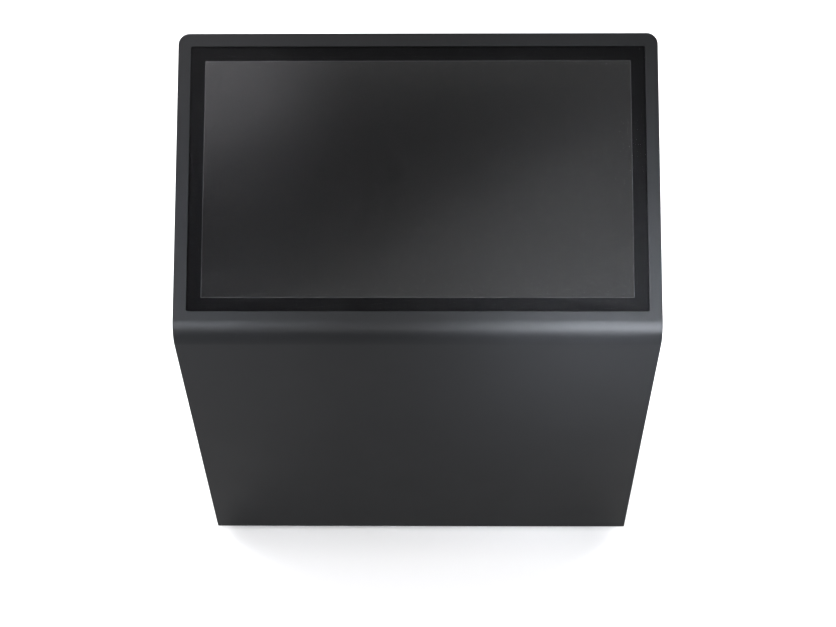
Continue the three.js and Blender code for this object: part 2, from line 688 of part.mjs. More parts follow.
// A speaker on the back cover: frame, cone and magnet in one.
function speaker(x) {
  const profile = [
    point(0, 0),
    point(8, 0),
    point(12, 3),
    point(34, -8),
    point(37, -8),
    point(39, -10),
    point(39, -7),
    point(36, -4),
    point(22, 14),
    point(22, 26),
    point(0, 26),
  ];
  const geometry = new THREE.LatheGeometry(profile, 20);
  geometry.rotateX(Math.PI / 2);
  geometry.translate(x, SPEAKER.y, -HEAD_DEPTH + SHEET + GAP + 10);
  return solid(geometry);
}
add("speaker_left", speaker(-SPEAKER.x), PAPER_CONE, head);
add("speaker_right", speaker(SPEAKER.x), PAPER_CONE, head);

// ---------------------------------------------------------------- fans on the rear top panel
const FAN_BACK = -SHEET - GAP; // the fan's outer face
const FAN_FRONT = FAN_BACK - FAN.depth;
function fanFrame(x) {
  const half = FAN.size / 2;
  const y = FAN.y;
  const outline = roundedRectangle(x - half, x + half, y - half, y + half, 6);
  const holes = bothSides(52.5).flatMap((dx) =>
    bothSides(52.5).map((dy) => rod(x + dx, y + dy, -FAR, FAR, 2.2, 8)),
  );
  const ring = cut(plate(outline, FAN_FRONT, FAN_BACK, 3), rod(x, y, -FAR, FAR, 57, 40), ...holes);
  const hub = rod(x, y, FAN_FRONT, FAN_FRONT + 4, 20, 24);
  const spokes = [0, 1, 2, 3].map((i) => {
    const spoke = block(15, 58, -3, 3, FAN_FRONT, FAN_FRONT + 3);
    return spoke.rotate([0, 0, 90 * i + 20]).translate([x, y, 0]);
  });
  return join(ring, hub, ...spokes);
}
function fanRotor(x) {
  const [low, high] = [FAN_FRONT + 4.5, FAN_BACK - 2];
  const middle = (low + high) / 2;
  const hub = rod(0, 0, low, high, 20, 24);
  const blades = [0, 1, 2, 3, 4, 5, 6].map((i) => {
    const blade = block(16, 54, -14, 14, -1, 1).rotate([38, 0, 0]);
    return blade.translate([0, 0, middle]).rotate([0, 0, (360 / 7) * i]);
  });
  const room = rod(0, 0, low, high, 55, 40);
  return join(hub, ...blades)
    .intersect(room)
    .translate([x, FAN.y, 0]);
}
for (const [place, x] of [
  ["left", FAN.x],
  ["right", -FAN.x],
]) {
  add(`fan_frame_${place}`, fanFrame(x), BLACK_PLASTIC, rear);
  add(`fan_rotor_${place}`, fanRotor(x), BLACK_PLASTIC, rear);
}

// ---------------------------------------------------------------- power inlet, button and ports
// A mains inlet and its rocker switch in one moulding, with an ear for a screw on each side.
const ROCKER = { y: INLET.y + 12, width: 13, length: 19, tilt: 10 * RAD };
const SOCKET = { y: INLET.y - 11, width: 24, height: 16.5, depth: 17 };
function powerInlet() {
  const { x, y, width, height } = INLET;
  const flange = roundedRectangle(x - 15.5, x + 15.5, y - 25.5, y + 25.5, 3);
  const ears = roundedRectangle(x - 26, x + 26, y - 8, y + 8, 6);
  const made = join(
    plate(flange, GAP, 2.5, 3),
    plate(ears, GAP, 2.5, 3),
    block(x - width / 2, x + width / 2, y - height / 2, y + height / 2, -30, 1),
  );
  return cut(
    made,
    block(
      x - SOCKET.width / 2,
      x + SOCKET.width / 2,
      SOCKET.y - SOCKET.height / 2,
      SOCKET.y + SOCKET.height / 2,
      2.5 - SOCKET.depth,
      10,
    ),
    block(x - 7, x + 7, ROCKER.y - 10.7, ROCKER.y + 10.7, -12, 10),
    ...bothSides(20).map((dx) => rod(x + dx, y, -10, 10, 1.8, 12)),
  );
}
add("power_inlet", powerInlet(), BLACK_PLASTIC, rear);

// The rocker pivots on its middle, and rests tipped towards off.
const ROCKER_AXIS_DEPTH = -3;
function powerRocker() {
  const half = ROCKER.length / 2;
  const outline = [
    point(-half, 4.4),
    point(0, 2.6),
    point(half, 4.4),
    point(half - 1.5, -1),
    point(3, -6),
    point(-3, -6),
    point(1.5 - half, -1),
  ].reverse();
  const halfWide = ROCKER.width / 2;
  return crosswise(outline, INLET.x - halfWide, INLET.x + halfWide)
    .rotate([ROCKER.tilt / RAD, 0, 0])
    .translate([0, ROCKER.y, ROCKER_AXIS_DEPTH]);
}
add("power_rocker", powerRocker(), RED_PLASTIC, rear);

// A push button whose collar rests behind the sheet, in a round switch body.
function powerButton() {
  return join(
    rod(BUTTON.x, BUTTON.y, -9, 4, BUTTON.radius, 24, BUTTON.radius - 0.4),
    rod(BUTTON.x, BUTTON.y, -5, -FIT, BUTTON.radius + 2, 24),
  );
}
function buttonBody() {
  return cut(
    rod(BUTTON.x, BUTTON.y, -22, -FIT, BUTTON.radius + 4, 24),
    rod(BUTTON.x, BUTTON.y, -9 - BUTTON.travel - 1, 0, BUTTON.radius + 2.5, 24),
  );
}
add("power_button", powerButton(), BLACK_PLASTIC, rear);
add("button_body", buttonBody(), BLACK_PLASTIC, rear);

// A block of sockets: one network port and two USB ports, each with the tongue that carries its contacts.
const NETWORK_PORT = { dx: -22, width: 12, height: 9 };
const USB_PORTS = [4, 24].map((dx) => ({ dx, width: 13.2, height: 5.2 }));
function ioBlock() {
  const { x, y, width, height } = PORTS;
  const face = roundedRectangle(x - 41, x + 41, y - 16, y + 16, 3);
  const ports = [NETWORK_PORT, ...USB_PORTS].map((port) =>
    block(
      x + port.dx - port.width / 2,
      x + port.dx + port.width / 2,
      y - port.height / 2,
      y + port.height / 2,
      -11,
      10,
    ),
  );
  const housing = join(
    plate(face, GAP, 2, 3),
    block(x - width / 2, x + width / 2, y - height / 2, y + height / 2, -20, 1),
  );
  const tongues = USB_PORTS.map((port) =>
    block(x + port.dx - 5.6, x + port.dx + 5.6, y - 0.2, y + 1.6, -12, 0),
  );
  return join(cut(housing, ...ports), ...tongues);
}
add("io_block", ioBlock(), BLACK_PLASTIC, rear);

// ---------------------------------------------------------------- equipment in the leg
const SHELF = { z: 430, front: -55, rear: 245, half: 526.4, lip: 20, turn: 32 };
function equipmentShelf() {
  const { z, front, rear: back, half, lip, turn } = SHELF;
  return join(
    block(-half, half, front, back, z, z + SHEET),
    block(-half, half, front, front + SHEET, z, z + lip),
    block(-half, half, back - SHEET, back, z, z + lip),
    block(-half, SHEET - half, front, back, z - turn, z + SHEET),
    block(half - SHEET, half, front, back, z - turn, z + SHEET),
  );
}
add("equipment_shelf", equipmentShelf(), ZINC);

const ON_SHELF = SHELF.z + SHEET + GAP;
const SUPPLY = { x0: 190, x1: 405, y0: 40, y1: 155, height: 50 };
const PLAYER = { x0: -330, x1: -80, y0: 10, y1: 200, height: 46 };
function powerSupply() {
  const { x0, x1, y0, y1, height } = SUPPLY;
  return join(
    block(x0, x1, y0, y1, ON_SHELF, ON_SHELF + height),
    block(x1 - 1, x1 + 12, y0 + 8, y1 - 8, ON_SHELF, ON_SHELF + 16),
  );
}
add("power_supply", powerSupply(), ALUMINIUM);

// The player's case, with a mounting ear on each side.
function mediaPlayer() {
  const { x0, x1, y0, y1, height } = PLAYER;
  return join(
    block(x0, x1, y0, y1, ON_SHELF, ON_SHELF + height),
    block(x0 - 14, x1 + 14, y0 + 20, y0 + 50, ON_SHELF, ON_SHELF + 2),
    block(x0 - 14, x1 + 14, y1 - 50, y1 - 20, ON_SHELF, ON_SHELF + 2),
  );
}
add("media_player", mediaPlayer(), BLACK_PLASTIC);

// ---------------------------------------------------------------- leads inside, in the body frame
const MAINS_ROUTE = [
  [330, 339.6, 66],
  [330, 325, 65],
  [332, 308, 63],
  [341, 289, 60],
  [360, 275, 57.5],
  [388, 268, 56.6],
  [420, 266, 56.6],
  [446, 265, 58],
  [470, 264, 64],
  [490, 263, 79],
  [505, 262, 103],
  [515, 261, 137],
  [519.5, 260, 180],
  [520, 260, 260],
  [520, 259, 340],
  [518.5, 258, 392],
  [514, 256, 424],
  [507, 252, 449],
  [499, 240, 468],
  [491, 220, 478],
  [484, 196, 478],
  [477, 171, 468],
  [469, 148, 455.5],
  [460, 127, 447],
  [449, 110, 442.5],
  [434, 101, 441],
  [418, 98.2, 440.5],
];
const PLAYER_ROUTE = [
  [189.6, 98, 455],
  [180, 98, 455],
  [120, 92, 446],
  [40, 84, 440],
  [-30, 80, 442],
  [-68, 78, 455],
  [-79.6, 78, 455],
];
const DISPLAY_ROUTE = [
  [-150, 9.6, 455],
  [-150, -4, 455.5],
  [-149, -26, 459],
  [-146, -48, 470],
  [-141, -67, 489],
  [-135, -82, 514],
  [-129, -93, 545],
  [-122, -102.5, 585],
  [-115, -110.5, 625],
  [-108, -117, 662],
  [-100, -119, 700],
  [-90, -111, 736],
  [-78, -91, 774],
  [-64, -62, 814],
  [-50, -32, 851],
  [-38, -6, 882],
  [-28, 17, 906],
  [-19, 38, 932],
  [-13, 53, 950],
  [-11, 60, 959.5],
  [-10, 64, 968],
  [-10, 65.4, 977],
  [-10, 64.7, 986.5],
  [-10, 61.9, 994],
  [-10, ...facePoint(260, 34.7).toArray()],
];
add("mains_cable", cable(MAINS_ROUTE, 8, 72), RUBBER);
add("player_power_cable", cable(PLAYER_ROUTE, 6, 18), RUBBER);
add("display_cable", cable(DISPLAY_ROUTE, 7, 52), RUBBER);

export default kiosk;
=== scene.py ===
"""The touchscreen kiosk's finished surfaces, fittings, materials and studio, round its CAD frame.

Lengths are in metres, +Z is up and the visitor stands on the -Y side.
"""
import json
import math

import bmesh
import bpy
from mathutils import Matrix, Vector


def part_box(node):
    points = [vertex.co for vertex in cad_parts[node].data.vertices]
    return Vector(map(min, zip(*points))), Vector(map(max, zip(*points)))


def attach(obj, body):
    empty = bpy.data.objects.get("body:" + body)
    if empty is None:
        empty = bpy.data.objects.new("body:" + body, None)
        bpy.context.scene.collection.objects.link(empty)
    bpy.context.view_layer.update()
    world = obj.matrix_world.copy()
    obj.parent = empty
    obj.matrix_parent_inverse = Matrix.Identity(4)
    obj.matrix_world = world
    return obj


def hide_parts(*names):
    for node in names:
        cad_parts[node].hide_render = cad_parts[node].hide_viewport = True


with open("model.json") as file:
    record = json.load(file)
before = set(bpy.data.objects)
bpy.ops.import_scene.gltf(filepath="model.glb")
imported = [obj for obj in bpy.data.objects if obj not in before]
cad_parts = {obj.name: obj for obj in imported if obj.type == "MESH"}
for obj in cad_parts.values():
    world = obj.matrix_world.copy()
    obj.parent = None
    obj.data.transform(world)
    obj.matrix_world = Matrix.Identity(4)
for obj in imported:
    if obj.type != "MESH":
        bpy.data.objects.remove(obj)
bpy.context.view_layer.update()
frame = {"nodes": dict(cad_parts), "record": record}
nodes = frame["nodes"]
MM = 0.001

# ---- the kiosk's outline, as the CAD has it
SCREEN_TILT = math.radians(40)  # head face above the horizontal
LEG_LEAN = math.radians(11)  # leg away from the vertical
HEAD_LENGTH = 674 * MM
HEAD_DEPTH = 75 * MM
LEG_LENGTH = 857 * MM
LEG_DEPTH = 373 * MM
CREASE_RADIUS = 60 * MM
CORNER_RADIUS = 25 * MM
SHEET = 1.5 * MM
LIP = 20 * MM

front_low, front_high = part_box("front_panel")
WIDTH = front_high.x - front_low.x
FACE_UP = Vector((0, math.cos(SCREEN_TILT), math.sin(SCREEN_TILT)))
FACE_OUT = Vector((0, -math.sin(SCREEN_TILT), math.cos(SCREEN_TILT)))
LEG_UP = Vector((0, -math.sin(LEG_LEAN), math.cos(LEG_LEAN)))
LEG_OUT = Vector((0, -math.cos(LEG_LEAN), -math.sin(LEG_LEAN)))
TURN = FACE_OUT.angle(LEG_OUT)
TANGENT = CREASE_RADIUS * math.tan(TURN / 2)  # from the sharp crease to where the bend starts


def to_bend_centre(crease):
    """From the sharp crease to the middle that the bend is curved round."""
    bisector = (FACE_OUT + LEG_OUT).normalized()
    return crease - bisector * CREASE_RADIUS / math.cos(TURN / 2)


# The leg's bottom front edge: its height is the CAD's, and the bend's foremost line sets how far back it is.
bottom_edge = Vector((0, 0, front_low.z))
foremost = to_bend_centre(bottom_edge + LEG_UP * LEG_LENGTH).y - CREASE_RADIUS
bottom_edge.y = front_low.y - foremost
CREASE = bottom_edge + LEG_UP * LEG_LENGTH
BEND_CENTRE = to_bend_centre(CREASE)
behind = bottom_edge - LEG_OUT * LEG_DEPTH
REAR_BOTTOM = behind + LEG_UP * (front_low.z - behind.z) / LEG_UP.z

# Head frame: X across, Y up the face from the crease, Z out of the face.
HEAD = Matrix.Translation(CREASE) @ Matrix.Rotation(SCREEN_TILT, 4, "X")
# Rear frame, seen from behind: X to the right, Y up the leg's rear from its bottom edge, Z out of it.
REAR = Matrix.Translation(REAR_BOTTOM) @ Matrix((Vector((-1, 0, 0)), LEG_UP, -LEG_OUT)).transposed().to_4x4()
# Back frame: X to the right seen from behind, Y up the head's back from the crease, Z out of the back.
BACK = HEAD @ Matrix.Translation((0, 0, -HEAD_DEPTH)) @ Matrix.Rotation(math.pi, 4, "Y")


def local_box(node, matrix):
    """A node's lowest and highest corners in one of the frames above."""
    inverse = matrix.inverted()
    corners = [inverse @ vertex.co for vertex in nodes[node].data.vertices]
    low = Vector(min(c[i] for c in corners) for i in range(3))
    high = Vector(max(c[i] for c in corners) for i in range(3))
    return low, high


def middle_of(node, matrix):
    """The middle of a node's box in one of the frames above, as plain numbers."""
    return [(low + high) / 2 for low, high in zip(*local_box(node, matrix))]


def add_object(name, data):
    """An object of its own in the scene, for a mesh, curve, light or camera."""
    made = bpy.data.objects.new(name, data)
    bpy.context.scene.collection.objects.link(made)
    return made


# ---- camera, where the photograph was taken from
camera_data = bpy.data.cameras.new("camera")
camera_data.sensor_width = 36.0
camera_data.lens = 65.6
camera = add_object("camera", camera_data)
camera.location = (0.045, -2.661, 3.126)
camera.rotation_euler = [math.radians(angle) for angle in (47.21, 0.5, 0.56)]
bpy.context.scene.camera = camera


# ---- materials
class Surface:
    """A procedural material: a Principled shader whose colour, roughness and bump vary over the piece."""

    def __init__(self, name, colour, roughness, metallic=0.0, specular=0.5):
        self.material = bpy.data.materials.new(name)
        self.material.use_nodes = True
        self.tree = self.material.node_tree
        self.shader = self.tree.nodes["Principled BSDF"]
        self.colour = colour
        self.bumps = None
        self.place = self.node("ShaderNodeTexCoord").outputs["Object"]
        self.shader.inputs["Base Color"].default_value = (*colour, 1)
        self.shader.inputs["Roughness"].default_value = roughness
        self.shader.inputs["Metallic"].default_value = metallic
        self.shader.inputs["Specular IOR Level"].default_value = specular

    def node(self, kind, **values):
        made = self.tree.nodes.new(kind)
        for key, value in values.items():
            setattr(made, key, value)
        return made

    def link(self, source, target):
        self.tree.links.new(source, target)

    def noise(self, size, detail=2.0, stretch=(1, 1, 1)):
        """Noise from 0 to 1 whose features are about size metres across."""
        scaled = self.node("ShaderNodeVectorMath", operation="MULTIPLY")
        scaled.inputs[1].default_value = [part / size for part in stretch]
        self.link(self.place, scaled.inputs[0])
        made = self.node("ShaderNodeTexNoise")
        made.inputs["Scale"].default_value = 1.0
        made.inputs["Detail"].default_value = detail
        self.link(scaled.outputs[0], made.inputs["Vector"])
        return made.outputs["Fac"]

    def cells(self, size):
        """Rounded cells about size metres across, from 0 in their middles."""
        scaled = self.node("ShaderNodeVectorMath", operation="SCALE")
        scaled.inputs["Scale"].default_value = 1 / size
        self.link(self.place, scaled.inputs[0])
        made = self.node("ShaderNodeTexVoronoi", feature="SMOOTH_F1")
        made.inputs["Scale"].default_value = 1.0
        self.link(scaled.outputs[0], made.inputs["Vector"])
        return made.outputs["Distance"]

    def spread(self, source, low, high, start=0.3, end=0.7):
        """A source whose start to end becomes low to high."""
        made = self.node("ShaderNodeMapRange")
        for socket, value in (("From Min", start), ("From Max", end), ("To Min", low), ("To Max", high)):
            made.inputs[socket].default_value = value
        self.link(source, made.inputs["Value"])
        return made.outputs["Result"]

    def tint(self, source, other, start=0.3, end=0.7):
        """Colour drifts from this surface's own to the other one."""
        mix = self.node("ShaderNodeMix", data_type="RGBA")
        self.link(self.spread(source, 0.0, 1.0, start, end), mix.inputs[0])
        colour = self.shader.inputs["Base Color"]
        if colour.is_linked:
            self.link(colour.links[0].from_socket, mix.inputs[6])
        else:
            mix.inputs[6].default_value = (*self.colour, 1)
        mix.inputs[7].default_value = (*other, 1)
        self.link(mix.outputs[2], colour)
        return self

    def vary_roughness(self, source, low, high):
        self.link(self.spread(source, low, high), self.shader.inputs["Roughness"])
        return self

    def bump(self, source, height, strength=1.0):
        """Relief of a height in metres, over any that the surface has already."""
        made = self.node("ShaderNodeBump")
        made.inputs["Distance"].default_value = height
        made.inputs["Strength"].default_value = strength
        self.link(source, made.inputs["Height"])
        if self.bumps:
            self.link(self.bumps, made.inputs["Normal"])
        self.bumps = made.outputs["Normal"]
        self.link(self.bumps, self.shader.inputs["Normal"])
        return self


def powder_coat():
    """Black polyester powder: a fine orange peel over a sanded-looking grain, with faint cloudy drift."""
    s = Surface("powder_coat", (0.0052, 0.0054, 0.0058), 0.40, specular=0.064)
    s.tint(s.noise(0.35, 3), (0.0062, 0.0064, 0.0068))
    s.tint(s.noise(0.0011, 2), (0.0040, 0.0042, 0.0045), 0.52, 0.72)
    s.vary_roughness(s.noise(0.12, 4), 0.385, 0.425)
    s.bump(s.cells(0.0011), 0.00006, 0.5)
    return s.bump(s.noise(0.006, 2), 0.00005, 0.4).material


def zinc():
    """Bright zinc plate with spangled, slightly yellowed patches and rolling marks."""
    s = Surface("zinc_plate", (0.34, 0.345, 0.35), 0.34, metallic=1.0)
    s.tint(s.noise(0.014, 3), (0.28, 0.28, 0.275))
    s.tint(s.noise(0.08, 2), (0.37, 0.355, 0.31), 0.5, 0.8)
    s.vary_roughness(s.noise(0.02, 4), 0.26, 0.44)
    return s.bump(s.noise(0.004, 3, (1, 6, 6)), 0.00003, 0.5).material


def polished(name, colour, low, high):
    """Metal with fine polishing lines, whose roughness runs from low to high."""
    s = Surface(name, colour, low, metallic=1.0)
    s.vary_roughness(s.noise(0.009, 4), low, high)
    s.tint(s.noise(0.02, 2), [part * 0.86 for part in colour])
    return s.bump(s.noise(0.0016, 2, (1, 5, 1)), 0.000001, 0.5).material


def aluminium():
    """Mill-finish sheet, rolled along its length."""
    s = Surface("tray_aluminium", (0.62, 0.63, 0.64), 0.4, metallic=1.0)
    s.tint(s.noise(0.05, 3), (0.52, 0.53, 0.54))
    s.vary_roughness(s.noise(0.01, 3, (1, 12, 12)), 0.3, 0.5)
    return s.bump(s.noise(0.0012, 2, (1, 14, 14)), 0.00001, 0.6).material


def moulded(name, colour, roughness, grain, depth, specular=0.5):
    """Moulded plastic or rubber: spark-eroded grain with a faint flow in its colour."""
    s = Surface(name, colour, roughness, specular=specular)
    s.tint(s.noise(0.03, 3), [part * 1.35 for part in colour])
    s.vary_roughness(s.noise(0.015, 3), roughness - 0.06, roughness + 0.06)
    return s.bump(s.cells(grain), depth, 0.7).material


def screen_glass():
    """Low-reflection toughened glass: nearly clear, with the faintest grey body and a wiped, uneven sheen."""
    s = Surface("screen_glass", (0.0012, 0.0012, 0.0014), 0.12, specular=0.02)
    s.shader.inputs["Alpha"].default_value = 0.16
    s.vary_roughness(s.noise(0.09, 4), 0.10, 0.14)
    return s.bump(s.noise(0.5, 1), 0.00001, 0.1).material


def display_cell():
    """The dark anti-glare film of a display that is switched off."""
    s = Surface("display_cell", (0.0034, 0.0034, 0.0035), 0.235, specular=0.155)
    s.tint(s.noise(0.5, 2), (0.0042, 0.0041, 0.0042))
    s.vary_roughness(s.noise(0.2, 3), 0.23, 0.24)
    return s.bump(s.noise(0.02, 1), 0.000002, 0.2).material


def printed_border():
    """Black ink on the back of the glass."""
    s = Surface("printed_border", (0.0035, 0.0035, 0.0037), 0.5, specular=0.01)
    s.tint(s.noise(0.06, 3), (0.0042, 0.0042, 0.0044))
    return s.bump(s.cells(0.0006), 0.000001, 0.2).material


def circuit_board():
    """Green solder mask over tracks, with tinned pads."""
    s = Surface("circuit_board", (0.012, 0.095, 0.045), 0.3, specular=0.5)
    s.tint(s.noise(0.004, 1, (1, 3, 3)), (0.02, 0.15, 0.07), 0.48, 0.52)
    s.tint(s.noise(0.0035, 1), (0.5, 0.48, 0.4), 0.66, 0.68)
    return s.bump(s.noise(0.004, 1, (1, 3, 3)), 0.00004, 0.6).material


def floor_paper():
    s = Surface("floor", (0.86, 0.86, 0.86), 0.6, specular=0.2)
    s.tint(s.noise(1.5, 3), (0.84, 0.84, 0.845))
    return s.bump(s.noise(0.004, 3), 0.00005, 0.2).material


COAT = powder_coat()
ZINC = zinc()
CHROME = polished("lock_chrome", (0.38, 0.385, 0.39), 0.16, 0.26)
STEEL = polished("hinge_pin", (0.55, 0.55, 0.56), 0.18, 0.34)
BRASS = polished("contact_brass", (0.72, 0.52, 0.22), 0.2, 0.34)
BLACK_SCREW = polished("screw_black", (0.045, 0.045, 0.048), 0.34, 0.5)
ALUMINIUM = aluminium()
BLACK = moulded("black_plastic", (0.017, 0.017, 0.018), 0.42, 0.0006, 0.00003)
FAN_PLASTIC = moulded("fan_plastic", (0.014, 0.014, 0.014), 0.5, 0.0010, 0.00004)
RUBBER = moulded("foot_rubber", (0.013, 0.013, 0.013), 0.72, 0.0012, 0.00006, 0.3)
GROMMET = moulded("grommet_rubber", (0.015, 0.015, 0.015), 0.68, 0.0012, 0.00005, 0.3)
FOAM = moulded("bond_foam", (0.010, 0.010, 0.010), 0.85, 0.0007, 0.0001, 0.2)
SHEATH = moulded("cable_sheath", (0.014, 0.014, 0.015), 0.55, 0.0020, 0.00003)
ROCKER_RED = moulded("rocker_red", (0.42, 0.016, 0.012), 0.22, 0.0014, 0.00001)
WHITE_MARK = moulded("white_mark", (0.75, 0.75, 0.73), 0.4, 0.0010, 0.00001)
ACRYLIC = moulded("light_guide", (0.80, 0.81, 0.81), 0.18, 0.0040, 0.00001)
CONE = moulded("speaker_cone", (0.016, 0.016, 0.017), 0.7, 0.0012, 0.00008, 0.3)
EDGE_FILM = moulded("edge_film", (0.043, 0.043, 0.046), 0.4, 0.0008, 0.000002)
MODULE = moulded("module_metal", (0.011, 0.011, 0.012), 0.48, 0.0010, 0.00002)
# Near black with little sheen: painted shade for the insides seen through the supply's perforated cover, over
# the parts' own dark colours.
INSIDE_PAINTED_SHADE = moulded("inside_painted_shade", (0.004, 0.004, 0.004), 0.8, 0.0010, 0.00001, 0.1)
GLASS = screen_glass()
CELL = display_cell()
PRINT = printed_border()
BOARD = circuit_board()
FLOOR = floor_paper()

SLOT_LOOKS = {  # each material slot's material, and the radius of its nodes' edges in millimetres
    "powder_coat": (COAT, 0.6),
    "zinc_plate": (ZINC, 0.35),
    "hinge_pin": (STEEL, 0.3),
    "lock_chrome": (CHROME, 0.4),
    "foot": (RUBBER, 0.8),
    "grommet_rubber": (GROMMET, 0),
    "bond_foam": (FOAM, 0.3),
    "screen_glass": (GLASS, 0.4),
    "module_metal": (MODULE, 0.3),
    "display_cell": (CELL, 0.3),
    "tray_aluminium": (ALUMINIUM, 0.5),
    "light_guide": (ACRYLIC, 0.3),
    "circuit_board": (BOARD, 0.2),
    "speaker": (CONE, 0),
    "fan_plastic": (FAN_PLASTIC, 0.5),
    "black_plastic": (BLACK, 0.5),
    "rocker": (ROCKER_RED, 0.6),
    "cable_sheath": (SHEATH, 0),
}

# ---- CAD nodes: materials and softened edges
SHARP = math.radians(32)


def soften(target, radius, segments=2):
    """Rounds a piece's sharp edges and keeps its flat faces flat."""
    target.data.shade_smooth()
    target.data.set_sharp_from_angle(angle=SHARP)
    if radius:
        bevel = target.modifiers.new("round", "BEVEL")
        bevel.width = radius
        bevel.segments = segments
        bevel.limit_method = "ANGLE"
        bevel.angle_limit = SHARP
        bevel.use_clamp_overlap = True
        bevel.miter_outer = "MITER_ARC"
    normals = target.modifiers.new("normals", "WEIGHTED_NORMAL")
    normals.keep_sharp = not radius


def clean_node(target):
    """Joins a faceted node's shared points and its coplanar triangles, so that its edges can be rounded."""
    weld = target.modifiers.new("weld", "WELD")
    weld.merge_threshold = 0.00001
    flatten = target.modifiers.new("flatten", "DECIMATE")
    flatten.decimate_type = "DISSOLVE"
    flatten.angle_limit = math.radians(0.6)


for entry in frame["record"]["subparts"]:
    node = nodes[entry["node"]]
    material, edge_radius = SLOT_LOOKS[entry["material_slot"]]
    node.data.materials.clear()
    node.data.materials.append(material)
    clean_node(node)
    soften(node, edge_radius * MM)


# ---- mesh helpers
def piece(name, mesh, material, body, matrix=None, radius=0.0, segments=2):
    """A Blender piece from a bmesh that is drawn in one of the frames, riding on a CAD body."""
    bmesh.ops.remove_doubles(mesh, verts=mesh.verts, dist=1e-6)
    bmesh.ops.recalc_face_normals(mesh, faces=mesh.faces)
    if matrix is not None:
        mesh.transform(matrix)
        if matrix.determinant() < 0:
            bmesh.ops.reverse_faces(mesh, faces=mesh.faces)
    data = bpy.data.meshes.new(name)
    mesh.to_mesh(data)
    mesh.free()
    made = add_object(name, data)
    data.materials.append(material)
    soften(made, radius, segments)
    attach(made, body)
    return made


def add_block(mesh, low, high):
    """A block between two opposite corners."""
    corners = [[(low, high)[i >> axis & 1][axis] for axis in range(3)] for i in range(8)]
    verts = [mesh.verts.new(corner) for corner in corners]
    for loop in ((0, 2, 3, 1), (4, 5, 7, 6), (0, 1, 5, 4), (2, 6, 7, 3), (0, 4, 6, 2), (1, 3, 7, 5)):
        mesh.faces.new([verts[i] for i in loop])


def add_lathe(mesh, profile, centre, sides):
    """Revolves (radius, height) points about Z. The profile starts and ends on the axis."""
    matrix = Matrix.Translation(centre)
    rings = []
    for radius, height in profile:
        spots = circle(radius, sides) if radius else [(0, 0)]
        rings.append([mesh.verts.new(matrix @ Vector((x, y, height))) for x, y in spots])
    bridge_rows(mesh, rings)


def bridge(mesh, lower, upper, closed=True):
    """Faces between two rows of points; either may be a single point."""
    count = max(len(lower), len(upper))
    for i in range(count if closed else count - 1):
        j = (i + 1) % count
        corners = [lower[i % len(lower)], lower[j % len(lower)]]
        corners += [upper[j % len(upper)], upper[i % len(upper)]]
        kept = [c for k, c in enumerate(corners) if c not in corners[:k]]
        if len(kept) > 2:
            mesh.faces.new(kept)


def bridge_rows(mesh, rows, closed=True):
    """Faces between each row of points and the next one."""
    for lower, upper in zip(rows, rows[1:]):
        bridge(mesh, lower, upper, closed)


def fill_between(mesh, rings):
    """Triangles between a flat outline and the holes in it."""
    edges = []
    for ring in rings:
        for a, b in zip(ring, ring[1:] + ring[:1]):
            edges.append(mesh.edges.get((a, b)) or mesh.edges.new((a, b)))
    bmesh.ops.triangle_fill(mesh, use_beauty=True, use_dissolve=False, edges=edges)


def circle(radius, sides, x=0, y=0):
    """Points round a circle, counter-clockwise."""
    angles = [2 * math.pi * i / sides for i in range(sides)]
    return [(x + radius * math.cos(angle), y + radius * math.sin(angle)) for angle in angles]


def rounded_outline(x0, x1, y0, y1, radius, steps=6):
    """Points of a rounded rectangle, counter-clockwise."""
    points = []
    centres = ((x1 - radius, y0 + radius, -90), (x1 - radius, y1 - radius, 0))
    centres += ((x0 + radius, y1 - radius, 90), (x0 + radius, y0 + radius, 180))
    for cx, cy, start in centres:
        for i in range(steps + 1):
            angle = math.radians(start + 90 * i / steps)
            points.append((cx + radius * math.cos(angle), cy + radius * math.sin(angle)))
    return points


def add_slab(mesh, outline, low, high, hole=None):
    """An outline given thickness, with an optional hole of as many points."""
    rows = {}
    for key, loop in (("outer", outline), ("inner", hole)):
        if loop:
            rows[key] = [[mesh.verts.new((x, y, z)) for x, y in loop] for z in (low, high)]
    bridge(mesh, rows["outer"][0], rows["outer"][1])
    if hole:
        bridge(mesh, rows["inner"][1], rows["inner"][0])
        bridge(mesh, rows["outer"][0], rows["inner"][0])
        bridge(mesh, rows["outer"][1], rows["inner"][1])
    else:
        mesh.faces.new(rows["outer"][0])
        mesh.faces.new(rows["outer"][1])


# ---- front panel
BEND_RADIUS = 2.2 * MM  # outside of the folded lip
FLAT_LEG = LEG_LENGTH - TANGENT
ARC = CREASE_RADIUS * TURN
FLAT_HEAD = HEAD_LENGTH - TANGENT
UNFOLDED = FLAT_LEG + ARC + FLAT_HEAD
WINDOW_RADIUS = 4 * MM


def fold(x, along, depth):
    """Where a point of the flat sheet goes once it is bent. depth is measured inwards from its outer face."""
    across = Vector((x, 0, 0))
    if along <= FLAT_LEG:
        return across + bottom_edge + LEG_UP * along - LEG_OUT * depth
    if along >= FLAT_LEG + ARC:
        return across + CREASE + FACE_UP * (along - FLAT_LEG - ARC + TANGENT) - FACE_OUT * depth
    turned = Matrix.Rotation(-(along - FLAT_LEG) / CREASE_RADIUS, 3, "X") @ LEG_OUT
    return across + BEND_CENTRE + turned * (CREASE_RADIUS - depth)


def front_rim():
    """The sheet's sides and top as (point, inward direction), from bottom left round to bottom right."""
    half, r = WIDTH / 2, CORNER_RADIUS
    rim = [((-half, 0), (1, 0)), ((-half, UNFOLDED - r), (1, 0))]
    steps = 10
    for corner, start in (((r - half, UNFOLDED - r), 180), ((half - r, UNFOLDED - r), 90)):
        for i in range(steps + 1):
            angle = math.radians(start - 90 * i / steps)
            out = (math.cos(angle), math.sin(angle))
            rim.append(((corner[0] + r * out[0], corner[1] + r * out[1]), (-out[0], -out[1])))
    rim.append(((half, 0), (-1, 0)))
    return rim


